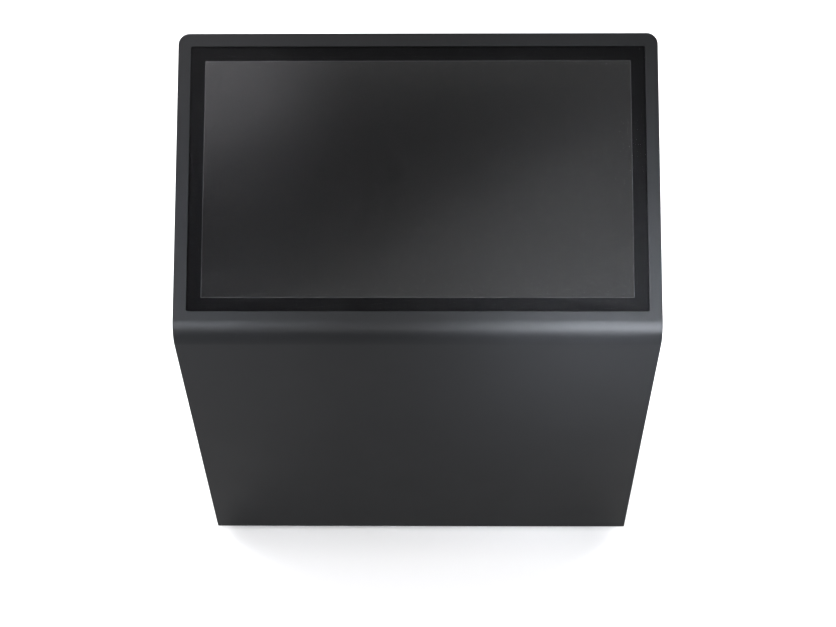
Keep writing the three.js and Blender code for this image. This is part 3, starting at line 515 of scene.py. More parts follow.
def lip_profile():
    """(inset, depth) points from the face, round the fold, down the lip and back up inside it."""
    outer = []
    inner = []
    steps = 5
    for i in range(steps + 1):
        angle = math.radians(90 * i / steps)
        for rows, radius in ((outer, BEND_RADIUS), (inner, BEND_RADIUS - SHEET)):
            rows.append((BEND_RADIUS - radius * math.sin(angle), BEND_RADIUS - radius * math.cos(angle)))
    edge = 0.4 * MM
    ends = [(0, LIP - edge), (edge * 0.3, LIP - edge * 0.3), (edge, LIP)]
    ends += [(SHEET - edge, LIP), (SHEET, LIP - edge)]
    return outer + ends + inner[::-1]


def build_front():
    """The sheet is made flat with its lip and its window, cut across where it bends, and then folded."""
    mesh = bmesh.new()
    profile = lip_profile()
    rows = []
    for (x, along), (inward_x, inward_along) in front_rim():
        row = []
        for inset, depth in profile:
            row.append(mesh.verts.new((x + inward_x * inset, along + inward_along * inset, depth)))
        rows.append(row)
    bridge_rows(mesh, rows, closed=False)
    for row in (rows[0], rows[-1]):
        mesh.faces.new(row)
    low, high = window_span()
    half = WINDOW_WIDTH / 2
    edge = 0.9 * MM  # rounding of the window's rim
    rounding = ((edge, 0), (edge * 0.5, edge * 0.13), (edge * 0.13, edge * 0.5), (0, edge), (0, SHEET))
    loops = []
    for grow, depth in rounding:
        x, radius = half + grow, WINDOW_RADIUS + grow
        outline = rounded_outline(-x, x, low - grow, high + grow, radius, 4)
        loops.append([mesh.verts.new((x, y, depth)) for x, y in outline])
    bridge_rows(mesh, loops)
    for index in (0, -1):
        fill_between(mesh, ([row[index] for row in rows], loops[index]))
    mesh.faces.new([rows[0][0], rows[0][-1], rows[-1][-1], rows[-1][0]])
    bend_steps = 20
    for i in range(bend_steps + 1):
        cut = (0, FLAT_LEG + ARC * i / bend_steps, 0)
        everything = mesh.verts[:] + mesh.edges[:] + mesh.faces[:]
        bmesh.ops.bisect_plane(mesh, geom=everything, dist=1e-7, plane_co=cut, plane_no=(0, 1, 0))
    for vertex in mesh.verts:
        vertex.co = fold(*vertex.co)
    made = piece("front_skin", mesh, COAT, "cabinet")
    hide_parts("front_panel")


GLASS_LOW, GLASS_HIGH = local_box("touch_glass", HEAD)
GLASS_MARGIN = 8 * MM  # how far the glass runs under the sheet round its window
WINDOW_WIDTH = GLASS_HIGH.x - GLASS_LOW.x - 2 * GLASS_MARGIN


def window_span():
    """The window's lower and upper edges, along the unfolded sheet."""
    offset = FLAT_LEG + ARC - TANGENT
    return GLASS_LOW.y + GLASS_MARGIN + offset, GLASS_HIGH.y - GLASS_MARGIN + offset


build_front()

# ---- folded sheets on the rear
EDGE = 0.3 * MM  # rounding of a cut edge
FOLD_STEPS = 5
ALL_ROUND = (True, True, True, True)  # whether the bottom, right, top and left edges are folded
TOP_AND_BOTTOM = (True, False, True, False)
TOP_ONLY = (False, False, True, False)


def fold_section(turn):
    """(outward, depth) points of an edge folded turn deep: round the fold, down and back up inside."""
    quarter = [math.radians(90 * i / FOLD_STEPS) for i in range(FOLD_STEPS + 1)]
    outer = [(BEND_RADIUS * math.sin(a), BEND_RADIUS - BEND_RADIUS * math.cos(a)) for a in quarter]
    small = BEND_RADIUS - SHEET
    inner = [(small * math.sin(a), BEND_RADIUS - small * math.cos(a)) for a in quarter]
    tip = [(BEND_RADIUS, turn - EDGE), (BEND_RADIUS - EDGE, turn), (small + EDGE, turn), (small, turn - EDGE)]
    return outer + tip + inner[::-1]


def cut_section():
    """(outward, depth) points of a cut edge that isn't folded."""
    front = [(0, 0), (EDGE * 0.7, EDGE * 0.3), (EDGE, EDGE)]
    return front + [(out, SHEET - depth) for out, depth in reversed(front)]


def add_sheet(mesh, boundary, holes):
    """The two faces of a flat sheet and the walls of its holes. Its front face is at height 0."""
    levels = []
    for depth in (0, SHEET):
        loops = [[mesh.verts.new((x, y, -depth)) for x, y in loop] for loop in (boundary, *holes)]
        fill_between(mesh, loops)
        levels.append(loops)
    for front, back in zip(levels[0][1:], levels[1][1:]):
        bridge(mesh, front, back)


def folded_sheet(name, node, folds, turn, holes, body):
    """A rectangular sheet whose edges are folded inwards where folds says so, turn deep."""
    low, high = local_box(node, REAR)
    inset = [BEND_RADIUS if folded else EDGE for folded in folds]
    x0, x1 = low.x + inset[3], high.x - inset[1]
    y0, y1 = low.y + inset[0], high.y - inset[2]
    corners = [(x0, y0), (x1, y0), (x1, y1), (x0, y1)]
    mesh = bmesh.new()
    add_sheet(mesh, corners, holes)
    outward = ((0, -1), (1, 0), (0, 1), (-1, 0))
    for side in range(4):
        section = fold_section(turn) if folds[side] else cut_section()
        dx, dy = outward[side]
        rows = []
        for x, y in (corners[side], corners[(side + 1) % 4]):
            rows.append([mesh.verts.new((x + dx * out, y + dy * out, -depth)) for out, depth in section])
        bridge_rows(mesh, rows, closed=False)
        for row in rows:
            mesh.faces.new(row)
    made = piece(name, mesh, COAT, body, REAR)
    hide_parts(node)


def slot_hole(x, y, width, height):
    """A slot with round ends."""
    return rounded_outline(x - width / 2, x + width / 2, y - height / 2, y + height / 2, height * 0.49, 3)


def slot_places(x, y, columns, rows, pitch_x, pitch_y):
    """The middles of a grid of slots round (x, y)."""
    xs = [x + (column - (columns - 1) / 2) * pitch_x for column in range(columns)]
    ys = [y + (row - (rows - 1) / 2) * pitch_y for row in range(rows)]
    return [(slot_x, slot_y) for slot_x in xs for slot_y in ys]


SLOT_HEIGHT = 3.5 * MM
HOLE_SIDES = 32
LOCK_HOLE = 9.8 * MM  # radius
DOOR_RETURN = 18 * MM
door_low, door_high = local_box("service_door", REAR)
lock_x, lock_y, _ = middle_of("lock_plug", REAR)
VENT_INSET = 110 * MM
VENT_WIDTH = 160 * MM
VENTS = {"lower": door_low.y + VENT_INSET, "upper": door_high.y - VENT_INSET}
VENT_PLACES = {key: slot_places(0, y, 3, 7, 220 * MM, 14 * MM) for key, y in VENTS.items()}
door_holes = [circle(LOCK_HOLE, HOLE_SIDES, lock_x, lock_y)]
for places in VENT_PLACES.values():
    door_holes += [slot_hole(x, y, VENT_WIDTH, SLOT_HEIGHT) for x, y in places]
folded_sheet("door_skin", "service_door", ALL_ROUND, DOOR_RETURN, door_holes, "service_door")

GRILLE_WIDTH = 100 * MM
fan_holes = []
for side in ("left", "right"):
    fan_x, fan_y, _ = middle_of(f"fan_frame_{side}", REAR)
    places = slot_places(fan_x, fan_y, 1, 11, 0, 9 * MM)
    fan_holes += [slot_hole(x, y, GRILLE_WIDTH, SLOT_HEIGHT) for x, y in places]
PANEL_RETURN = 14 * MM
folded_sheet("rear_top_skin", "rear_top_panel", TOP_AND_BOTTOM, PANEL_RETURN, fan_holes, "cabinet")

INLET_HOLE = (27.8 * MM, 47.8 * MM)
PORTS_HOLE = (74.8 * MM, 24.8 * MM)
BUTTON_HOLE = 6.5 * MM  # radius


def box_hole(node, width, height):
    """A hole in a rear panel, round a node's middle."""
    x, y, _ = middle_of(node, REAR)
    return rounded_outline(x - width / 2, x + width / 2, y - height / 2, y + height / 2, 1 * MM, 3)


button_x, button_y, _ = middle_of("power_button", REAR)
sockets = [box_hole("power_inlet", *INLET_HOLE), box_hole("io_block", *PORTS_HOLE)]
sockets.append(circle(BUTTON_HOLE, HOLE_SIDES, button_x, button_y))
folded_sheet("rear_bottom_skin", "rear_bottom_panel", TOP_ONLY, PANEL_RETURN, sockets, "cabinet")


def build_back_cover():
    """The flat cover on the head's back, with round top corners and its face at height 0."""
    low, high = local_box("head_back_cover", BACK)
    radius = 22 * MM
    loops = []
    for inset, depth in cut_section():
        inset = EDGE - inset
        y0, y1 = low.y + inset, high.y - inset
        ring = rounded_outline(low.x + inset, high.x - inset, y0, y1, radius - inset, 8)
        foot = []
        for x, y in ring:
            if y < low.y + radius:
                x, y = math.copysign(high.x - inset, x), y0
            foot.append((x, y))
        kept = [spot for i, spot in enumerate(foot) if spot != foot[i - 1]]
        loops.append((kept, depth))
    mesh = bmesh.new()
    speaker_x, speaker_y, _ = middle_of("speaker_left", BACK)
    holes = []
    for x in (-speaker_x, speaker_x):
        places = slot_places(x, speaker_y, 1, 7, 0, 10 * MM)
        holes += [slot_hole(px, py, 72 * MM, SLOT_HEIGHT) for px, py in places]
    half, tall = SLOT_HEIGHT / 2, 30 * MM
    for px, py in slot_places(0, speaker_y, 16, 1, 14 * MM, 0):
        holes.append(rounded_outline(px - half, px + half, py - tall, py + tall, 1.7 * MM, 3))
    add_sheet(mesh, loops[0][0], holes)
    rows = [[mesh.verts.new((x, y, -depth)) for x, y in ring] for ring, depth in loops]
    bridge_rows(mesh, rows)
    made = piece("back_cover_skin", mesh, COAT, "cabinet", BACK)
    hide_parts("head_back_cover")


build_back_cover()

# ---- display: printed border, lit area's edge
ACTIVE_WIDTH, ACTIVE_HEIGHT = 941 * MM, 529 * MM
SCREEN_MIDDLE = (GLASS_LOW.y + GLASS_HIGH.y) / 2


def screen_ring(name, outer, inner, radius, low, high, material):
    """A flat ring about the middle of the screen, between two distances from the face."""
    mesh = bmesh.new()
    loops = []
    for width, height in (outer, inner):
        y0, y1 = SCREEN_MIDDLE - height / 2, SCREEN_MIDDLE + height / 2
        loops.append(rounded_outline(-width / 2, width / 2, y0, y1, radius, 3))
    add_slab(mesh, loops[0], low, high, loops[1])
    return piece(name, mesh, material, "cabinet", HEAD)


active = (ACTIVE_WIDTH, ACTIVE_HEIGHT)
border = (GLASS_HIGH.x - GLASS_LOW.x - 2 * MM, GLASS_HIGH.y - GLASS_LOW.y - 2 * MM)
under_glass = GLASS_LOW.z - 0.02 * MM
ink = under_glass - 0.1 * MM
screen_ring("printed_border", border, active, 0.6 * MM, ink, under_glass, PRINT)
cell_top = local_box("lcd_cell", HEAD)[1].z
rim = (ACTIVE_WIDTH - 1.6 * MM, ACTIVE_HEIGHT - 1.6 * MM)
wide = (ACTIVE_WIDTH + 1.6 * MM, ACTIVE_HEIGHT + 1.6 * MM)
film = cell_top + 0.05 * MM
screen_ring("display_edge_film", wide, rim, 0.4 * MM, cell_top, film, EDGE_FILM)


# ---- screws
def add_screw(mesh, matrix, radius, height):
    """A button head with a hexagon socket, standing on the local XY plane."""
    sides = 24
    socket = radius * 0.42
    rings = []

    def ring(places):
        rings.append([mesh.verts.new(matrix @ Vector(place)) for place in places])

    for share, rise in ((1.0, 0.0), (1.0, 0.18), (0.93, 0.5), (0.76, 0.84), (0.6, 1.0)):
        ring([(x, y, height * rise) for x, y in circle(radius * share, sides)])
    for z in (height, height * 0.15):
        places = []
        for i in range(sides):
            a = 2 * math.pi * i / sides
            flat = socket / math.cos((a + math.pi / 6) % (math.pi / 3) - math.pi / 6)
            places.append((flat * math.cos(a), flat * math.sin(a), z))
        ring(places)
    bridge_rows(mesh, rings)
    mesh.faces.new(rings[-1])


def screws(name, places, matrix, body, radius=3.2 * MM, height=1.7 * MM, material=BLACK_SCREW):
    """Screws whose heads stand on a frame's XY plane, each turned a little differently."""
    mesh = bmesh.new()
    for i, place in enumerate(places):
        spin = Matrix.Rotation(math.radians(37 * i), 4, "Z")
        add_screw(mesh, Matrix.Translation(place) @ spin, radius, height)
    piece(name, mesh, material, body, matrix)


def spaced(low, high, count):
    """Evenly spaced numbers from low to high, both included."""
    return [low + (high - low) * i / (count - 1) for i in range(count)]


def edge_places(node, matrix, inset, columns, rows):
    """Places round a panel's four edges, on its outer face."""
    low, high = local_box(node, matrix)
    xs = spaced(low.x + inset, high.x - inset, columns)
    ys = spaced(low.y + inset, high.y - inset, rows)
    ends = [(x, y, high.z) for x in (xs[0], xs[-1]) for y in ys]
    return ends + [(x, y, high.z) for x in xs[1:-1] for y in (ys[0], ys[-1])]


def end_places(node, below, above, count):
    """Places down a rear panel's two ends, from below over its bottom edge to above under its top edge."""
    low, high = local_box(node, REAR)
    inset = 7 * MM
    ys = spaced(low.y + below, high.y - above, count)
    return [(x, y, 0) for x in (low.x + inset, high.x - inset) for y in ys]


screws("rear_top_screws", end_places("rear_top_panel", 30 * MM, 40 * MM, 3), REAR, "cabinet")
screws("rear_bottom_screws", end_places("rear_bottom_panel", 30 * MM, 20 * MM, 2), REAR, "cabinet")
screws("back_cover_screws", edge_places("head_back_cover", BACK, 12 * MM, 7, 4), BACK, "cabinet")
LEAF_REACH = 10.5 * MM  # from a hinge leaf's outer edge to its screws
for place in ("lower", "upper"):
    for half, body in (("frame", "cabinet"), ("door", "service_door")):
        leaf_low, leaf_high = local_box(f"hinge_{half}_leaf_{place}", REAR)
        leaf_x = leaf_low.x + LEAF_REACH if half == "frame" else leaf_high.x - LEAF_REACH
        ys = spaced(leaf_low.y + 13 * MM, leaf_high.y - 13 * MM, 3)
        spots = [(leaf_x, y, 2.3 * MM) for y in ys]
        screws(f"hinge_{half}_screws_{place}", spots, REAR, body, 3 * MM, 1.5 * MM)

# ---- pressed louvres over the slots
LOUVRE_RISE = 3.6 * MM
LOUVRE_HEIGHT = 8.5 * MM


def add_louvre(mesh, x, y, width):
    """A hood over one slot, closed at the top and both ends and open below."""
    columns = 14
    rows = 6
    half = width / 2 + 3 * MM
    ramp = 6 * MM
    grid = []
    for i in range(columns + 1):
        across = -half + 2 * half * i / columns
        rise = min(1.0, (half - abs(across)) / ramp)
        rise = math.sin(rise * math.pi / 2)
        column = []
        for j in range(rows + 1):
            share = j / rows
            z = LOUVRE_RISE * rise * math.sin(share * math.pi / 2)
            column.append(mesh.verts.new((x + across, y + LOUVRE_HEIGHT * (0.72 - share), z)))
        grid.append(column)
    bridge_rows(mesh, grid, closed=False)


def thicken(made, thickness, offset):
    """Gives an open sheet its thickness instead of softened edges."""
    made.modifiers.clear()
    thick = made.modifiers.new("thickness", "SOLIDIFY")
    thick.thickness = thickness
    thick.offset = offset


for place, spots in VENT_PLACES.items():
    mesh = bmesh.new()
    for x, y in spots:
        add_louvre(mesh, x, y, VENT_WIDTH)
    made = piece(f"door_louvres_{place}", mesh, COAT, "service_door", REAR)
    thicken(made, 0.9 * MM, -1)


# ---- lock
def keyhole(sides):
    """A key slot with a ward step on one side, as points round the middle."""
    points = []
    for x, y in circle(1, sides):
        reach_x, reach_y = 0.75 * MM, 3.2 * MM
        if y < 0 and x > 0:
            reach_x = 1.3 * MM
        scale = min(reach_x / max(abs(x), 1e-6), reach_y / max(abs(y), 1e-6))
        points.append((x * scale, y * scale))
    return points


def build_plug():
    """The lock's round plug, with the keyway sunk in its face."""
    mesh = bmesh.new()
    low, high = local_box("lock_plug", REAR)
    radius = (high.x - low.x) / 2
    sides = 40
    edge = 0.5 * MM
    slot_depth = 7 * MM
    wide, narrow, slot_points = circle(radius, sides), circle(radius - edge, sides), keyhole(sides)
    levels = [(wide, low.z), (wide, high.z - edge), (narrow, high.z)]
    levels += [(slot_points, high.z), (slot_points, high.z - slot_depth)]
    rows = [[mesh.verts.new((lock_x + x, lock_y + y, z)) for x, y in ring] for ring, z in levels]
    bridge_rows(mesh, rows)
    mesh.faces.new(rows[0])
    mesh.faces.new(rows[-1])
    made = piece("lock_keyway_plug", mesh, CHROME, "door_lock", REAR)
    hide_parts("lock_plug")


build_plug()

# ---- inlet, switch and ports
inlet_x, inlet_y, _ = middle_of("power_inlet", REAR)
SOCKET_DROP = 11 * MM  # the socket's middle below the inlet's


def inlet_pins():
    """Three blades: live and neutral beside each other, earth offset between them."""
    mesh = bmesh.new()
    y = inlet_y - SOCKET_DROP
    floor_z, tip = -14.4 * MM, 0.2 * MM
    for dx, dy in ((-7, -1.6), (7, -1.6), (0, 2.4)):
        low = (inlet_x + (dx - 1.0) * MM, y + (dy - 2.0) * MM, floor_z)
        high = (inlet_x + (dx + 1.0) * MM, y + (dy + 2.0) * MM, tip)
        add_block(mesh, low, high)
    piece("inlet_pins", mesh, STEEL, "cabinet", REAR, 0.4 * MM)


inlet_pins()
ears = [(inlet_x + dx * MM, inlet_y, 2.5 * MM) for dx in (-20, 20)]
screws("inlet_screws", ears, REAR, "cabinet", 2.8 * MM, 1.4 * MM)

# ---- leads inside the cabinet
def spline_line(points, steps=8):
    """A smooth line through the points, a centripetal Catmull-Rom spline."""
    spots = [points[0] * 2 - points[1], *points, points[-1] * 2 - points[-2]]
    line = []
    for p0, p1, p2, p3 in zip(spots, spots[1:], spots[2:], spots[3:]):
        t1 = (p1 - p0).length ** 0.5
        t2 = t1 + (p2 - p1).length ** 0.5
        t3 = t2 + (p3 - p2).length ** 0.5
        for i in range(steps):
            t = t1 + (t2 - t1) * i / steps
            a1 = p0 * ((t1 - t) / t1) + p1 * (t / t1)
            a2 = p1 * ((t2 - t) / (t2 - t1)) + p2 * ((t - t1) / (t2 - t1))
            a3 = p2 * ((t3 - t) / (t3 - t2)) + p3 * ((t - t2) / (t3 - t2))
            b1 = a1 * ((t2 - t) / t2) + a2 * (t / t2)
            b2 = a2 * ((t3 - t) / (t3 - t1)) + a3 * ((t - t1) / (t3 - t1))
            line.append(b1 * ((t2 - t) / (t2 - t1)) + b2 * ((t - t1) / (t2 - t1)))
    return [*line, points[-1]]


def lead(node, route, diameter):
    """A round lead along a route in metres; it goes into something at both ends."""
    line = spline_line(route)
    data = bpy.data.curves.new(f"{node}_lead", "CURVE")
    data.dimensions = "3D"
    data.bevel_depth = diameter / 2
    data.bevel_resolution = 4
    data.use_fill_caps = True
    spline = data.splines.new("POLY")
    spline.points.add(len(line) - 1)
    for spot, co in zip(spline.points, line):
        spot.co = (*co, 1)
    data.materials.append(SHEATH)
    made = add_object(f"{node}_lead", data)
    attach(made, "cabinet")
    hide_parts(node)


def route(points):
    """Points in millimetres, in the leg's own frame, moved to where the kiosk stands."""
    return [Vector((x, y, z)) * MM + Vector((0, bottom_edge.y, 0)) for x, y, z in points]


mains = [(330, 339.6, 66), (330, 325, 65), (332, 308, 63), (341, 289, 60), (360, 275, 57.5)]
mains += [(388, 268, 56.6), (420, 266, 56.6), (446, 265, 58), (470, 264, 64), (490, 263, 79)]
mains += [(505, 262, 103), (515, 261, 137), (519.5, 260, 180), (520, 260, 260), (520, 259, 340)]
mains += [(518.5, 258, 392), (514, 256, 424), (507, 252, 449), (499, 240, 468), (491, 220, 478)]
mains += [(484, 196, 478), (477, 171, 468), (469, 148, 455.5), (460, 127, 447), (449, 110, 442.5)]
mains += [(434, 101, 441), (418, 98.2, 440.5)]
player = [(189.6, 98, 455), (180, 98, 455), (120, 92, 446), (40, 84, 440), (-30, 80, 442), (-68, 78, 455)]
player += [(-79.6, 78, 455)]
display = [(-150, 9.6, 455), (-150, -4, 455.5), (-149, -26, 459), (-146, -48, 470), (-141, -67, 489)]
display += [(-135, -82, 514), (-129, -93, 545), (-122, -102.5, 585), (-115, -110.5, 625)]
display += [(-108, -117, 662), (-100, -119, 700), (-90, -111, 736), (-78, -91, 774), (-64, -62, 814)]
display += [(-50, -32, 851), (-38, -6, 882), (-28, 17, 906), (-19, 38, 932), (-13, 53, 950)]
display += [(-11, 60, 959.5), (-10, 64, 968), (-10, 65.4, 977), (-10, 64.7, 986.5), (-10, 61.9, 994)]
display_end = [HEAD @ Vector((-10 * MM, 260 * MM, -34.7 * MM))]
lead("mains_cable", route(mains), 8 * MM)
lead("player_power_cable", route(player), 6 * MM)
lead("display_cable", route(display) + display_end, 7 * MM)


def saddle(name, line, index, wall, radius):
    """A stick-on saddle round a lead. wall reaches from the lead's middle to the wall."""
    along = (line[index + 1] - line[index - 1]).normalized()
    side = wall.cross(along).normalized()
    matrix = Matrix((side, along.cross(side), along)).transposed().to_4x4()
    matrix.translation = line[index]
    inner, outer = radius + 0.1 * MM, radius + 1.5 * MM
    foot, top = wall.length - 1.4 * MM, wall.length - 0.5 * MM
    corner = 0.45 * (foot + outer)
    mesh = bmesh.new()
    ring = rounded_outline(-outer, outer, -outer, foot, min(corner, outer * 0.95))
    hole = rounded_outline(-inner, inner, -inner, inner, inner * 0.98)
    add_slab(mesh, ring, -2.5 * MM, 2.5 * MM, hole)
    base = rounded_outline(-10 * MM, 10 * MM, foot - 0.6 * MM, top, 0.7 * MM, 3)
    add_slab(mesh, base, -8 * MM, 8 * MM)
    piece(name, mesh, BLACK, "cabinet", matrix, 0.3 * MM)


PANEL_GAPS = {6: 7.8, 8: 5.9, 9: 6.6}  # from a held point to the front panel's inside, in millimetres
for index, gap in PANEL_GAPS.items():
    saddle(f"display_saddle_{index}", route(display), index, LEG_OUT * gap * MM, 3.5 * MM)
SIDE_GAP = 6.9 * MM  # from the mains lead's middle to the right side panel's inside
for index in (12, 13, 14):
    saddle(f"mains_saddle_{index}", route(mains), index, Vector((SIDE_GAP, 0, 0)), 4 * MM)


# ---- levelling feet
def build_foot(place):
    """A rubber pad, turned round its axis, and the threaded stem that stands in it."""
    node = f"levelling_foot_{place}"
    low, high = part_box(node)
    x, y = (low.x + high.x) / 2, (low.y + high.y) / 2
    pad = bmesh.new()
    # Radii and heights in millimetres, with a groove near the rim of the underside.
    section = [(0, 0), (21, 0), (21.6, 1.2), (23.4, 1.2), (24, 0), (24.6, 0.2), (25, 0.8)]
    section += [(25, 3.4), (24.5, 4.1), (19.4, 6.9), (11, 8.6), (9.6, 9.6), (9, 10), (0, 10)]
    add_lathe(pad, [(r * MM, z * MM) for r, z in section], (x, y, 0), 40)
    made = piece(f"foot_pad_{place}", pad, RUBBER, node)
    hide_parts(node)
    stem = bmesh.new()
    pitch, top = 1.5, high.z / MM
    thread = [(0, 9), (4.1, 9)]
    for i in range(int((top - 11) / pitch)):
        start = 10 + i * pitch
        thread += [(4.25, start), (4.9, start + pitch * 0.42), (4.9, start + pitch * 0.58)]
    thread += [(4.2, top - 0.8), (3.6, top), (0, top)]
    add_lathe(stem, [(r * MM, z * MM) for r, z in thread], (x, y, 0), 20)
    piece(f"foot_stem_{place}", stem, ZINC, node)


for where in ("front_left", "front_right", "rear_left", "rear_right"):
    build_foot(where)


# ---- fans
FAN_RADIUS = 54 * MM
HUB_RADIUS = 20 * MM


def build_rotor(side):
    """Cambered blades that twist towards their tips, and the hub that they grow from."""
    node = f"fan_rotor_{side}"
    low, high = local_box(node, REAR)
    centre = (low + high) / 2
    half_depth = (high.z - low.z) / 2 - 0.2 * MM
    mesh = bmesh.new()
    blades = 7
    along, across = 8, 6
    for blade in range(blades):
        grid = []
        for i in range(along + 1):
            share = i / along
            radius = HUB_RADIUS - 1 * MM + (FAN_RADIUS - HUB_RADIUS + 1 * MM) * share
            pitch = math.radians(44 - 17 * share)
            chord = (22 + 10 * share) * MM
            sweep = math.radians(360 / blades * blade + 18 * share * share)
            row = []
            for j in range(across + 1):
                place = (j / across - 0.5) * chord
                camber = 1.8 * MM * (1 - (2 * j / across - 1) ** 2)
                turn = sweep + (place * math.cos(pitch) - camber * math.sin(pitch)) / radius
                height = place * math.sin(pitch) + camber * math.cos(pitch)
                height = max(-half_depth + 1 * MM, min(half_depth - 1 * MM, height))
                row.append(mesh.verts.new((radius * math.cos(turn), radius * math.sin(turn), height)))
            grid.append(row)
        bridge_rows(mesh, grid, closed=False)
    mesh.transform(Matrix.Translation(centre))
    made = piece(f"fan_blades_{side}", mesh, FAN_PLASTIC, node, REAR)
    thicken(made, 1.5 * MM, 0)
    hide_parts(node)
    hub = bmesh.new()
    r, h = HUB_RADIUS, half_depth
    section = [(0, -h), (r - 1 * MM, -h), (r, -h + 1 * MM), (r, h - 2.4 * MM)]
    section += [(r - 0.7 * MM, h - 0.9 * MM), (r - 2.2 * MM, h - 0.1 * MM)]
    section += [(r * 0.55, h), (r * 0.52, h - 0.4 * MM), (0, h - 0.4 * MM)]
    add_lathe(hub, section, centre, 40)
    piece(f"fan_hub_{side}", hub, FAN_PLASTIC, node, REAR)


def fan_corners(side):
    """The places of a fan's four screws on the panel's face."""
    low, high = local_box(f"fan_frame_{side}", REAR)
    inset = 7.5 * MM
    return [(x, y, 0) for x in (low.x + inset, high.x - inset) for y in (low.y + inset, high.y - inset)]


for where in ("left", "right"):
    build_rotor(where)
    screws(f"fan_screws_{where}", fan_corners(where), REAR, "cabinet", 3.6 * MM, 1.8 * MM)

# ---- sockets' contacts and shells
io_x, io_y, _ = middle_of("io_block", REAR)


def add_port_block(mesh, x, half, low_y, high_y, low_z, high_z):
    """A block in the port plate, whose sizes are in millimetres about the plate's middle."""
    low = (io_x + (x - half) * MM, io_y + low_y * MM, low_z * MM)
    high = (io_x + (x + half) * MM, io_y + high_y * MM, high_z * MM)
    add_block(mesh, low, high)


def build_ports():
    """A network socket, two USB sockets, two link lamps and the plate's screws."""
    network, usb = -22, (4, 24)  # the sockets' middles along the plate, in millimetres
    contacts = bmesh.new()
    for i in range(8):
        add_port_block(contacts, network + (i - 3.5) * 1.05, 0.22, 1.0, 3.9, -9.5, -3.5)
    for middle in usb:
        for i in range(4):
            add_port_block(contacts, middle + (i - 1.5) * 2.3, 0.5, -0.42, -0.15, -8, -0.6)
    piece("port_contacts", contacts, BRASS, "cabinet", REAR)
    shells = bmesh.new()
    for middle in usb:
        loops = []
        for inset, radius in ((0.02 * MM, 0.5 * MM), (0.4 * MM, 0.3 * MM)):
            half_x, half_y = 6.6 * MM - inset, 2.6 * MM - inset
            x = io_x + middle * MM
            loops.append(rounded_outline(x - half_x, x + half_x, io_y - half_y, io_y + half_y, radius, 3))
        add_slab(shells, loops[0], -9 * MM, 2.1 * MM, loops[1])
    piece("port_shells", shells, STEEL, "cabinet", REAR)
    lamps = bmesh.new()
    dome = [(r * MM, z * MM) for r, z in ((0, 1.5), (1.2, 1.5), (1.1, 2.2), (0.6, 2.5), (0, 2.5))]
    for dx in (-31.5, -12.5):
        add_lathe(lamps, dome, (io_x + dx * MM, io_y, 0), 16)
    piece("port_lamps", lamps, ACRYLIC, "cabinet", REAR)
    ends = [(io_x + dx * MM, io_y, 2 * MM) for dx in (-37, 37)]
    screws("port_screws", ends, REAR, "cabinet", 2.4 * MM, 1.2 * MM)


build_ports()


# ---- rocker's marks
def build_rocker_marks():
    """A bar for on and a ring for off, standing a hair above the rocker's two faces."""
    x, y, _ = middle_of("power_rocker", REAR)
    mesh = bmesh.new()
    tilt = math.radians(10)  # of the whole rocker at rest
    slope = math.atan2(1.8, 9.5)  # of each face against the rocker's middle plane
    rise = 0.12 * MM
    seat = Matrix.Translation((x, y, -3 * MM)) @ Matrix.Rotation(tilt, 4, "X")
    for sign in (1, -1):
        on_face = Matrix.Translation((0, sign * 5 * MM, 3.62 * MM)) @ Matrix.Rotation(sign * slope, 4, "X")
        mark = bmesh.new()
        if sign > 0:
            add_block(mark, (-0.35 * MM, -2 * MM, 0), (0.35 * MM, 2 * MM, rise))
        else:
            rims = [rounded_outline(-r, r, -r, r, r - 0.001 * MM, 8) for r in (2 * MM, 1.35 * MM)]
            add_slab(mark, rims[0], 0, rise, rims[1])
        mark.transform(seat @ on_face)
        held = bpy.data.meshes.new("mark")
        mark.to_mesh(held)
        mark.free()
        mesh.from_mesh(held)
        bpy.data.meshes.remove(held)
    piece("rocker_marks", mesh, WHITE_MARK, "power_rocker", REAR)


build_rocker_marks()


# ---- power supply and media player
def add_perforated(mesh, low, columns, rows, pitch, radius, z, thickness):
    """A sheet of square cells with a round hole in each; neighbouring cells share their edges."""
    sides = 12
    for column in range(columns):
        for row in range(rows):
            cx, cy = low[0] + (column + 0.5) * pitch, low[1] + (row + 0.5) * pitch
            loops = []
            for square, height in ((True, z), (False, z), (False, z - thickness)):
                loop = []
                for i in range(sides):
                    angle = 2 * math.pi * (i + 0.5) / sides
                    x, y = math.cos(angle), math.sin(angle)
                    reach = pitch / 2 / max(abs(x), abs(y)) if square else radius
                    loop.append(mesh.verts.new((cx + x * reach, cy + y * reach, height)))
                loops.append(loop)
            bridge_rows(mesh, loops)
            for first, second in zip(loops[0], loops[0][1:] + loops[0][:1]):
                x0, y0, x1, y1 = first.co.x - cx, first.co.y - cy, second.co.x - cx, second.co.y - cy
                if min(abs(abs(x0) - abs(x1)), abs(abs(y0) - abs(y1))) > 1e-6:
                    corner_x = cx + math.copysign(pitch / 2, x0 + x1)
                    corner_y = cy + math.copysign(pitch / 2, y0 + y1)
                    mesh.faces.new([first, mesh.verts.new((corner_x, corner_y, z)), second])


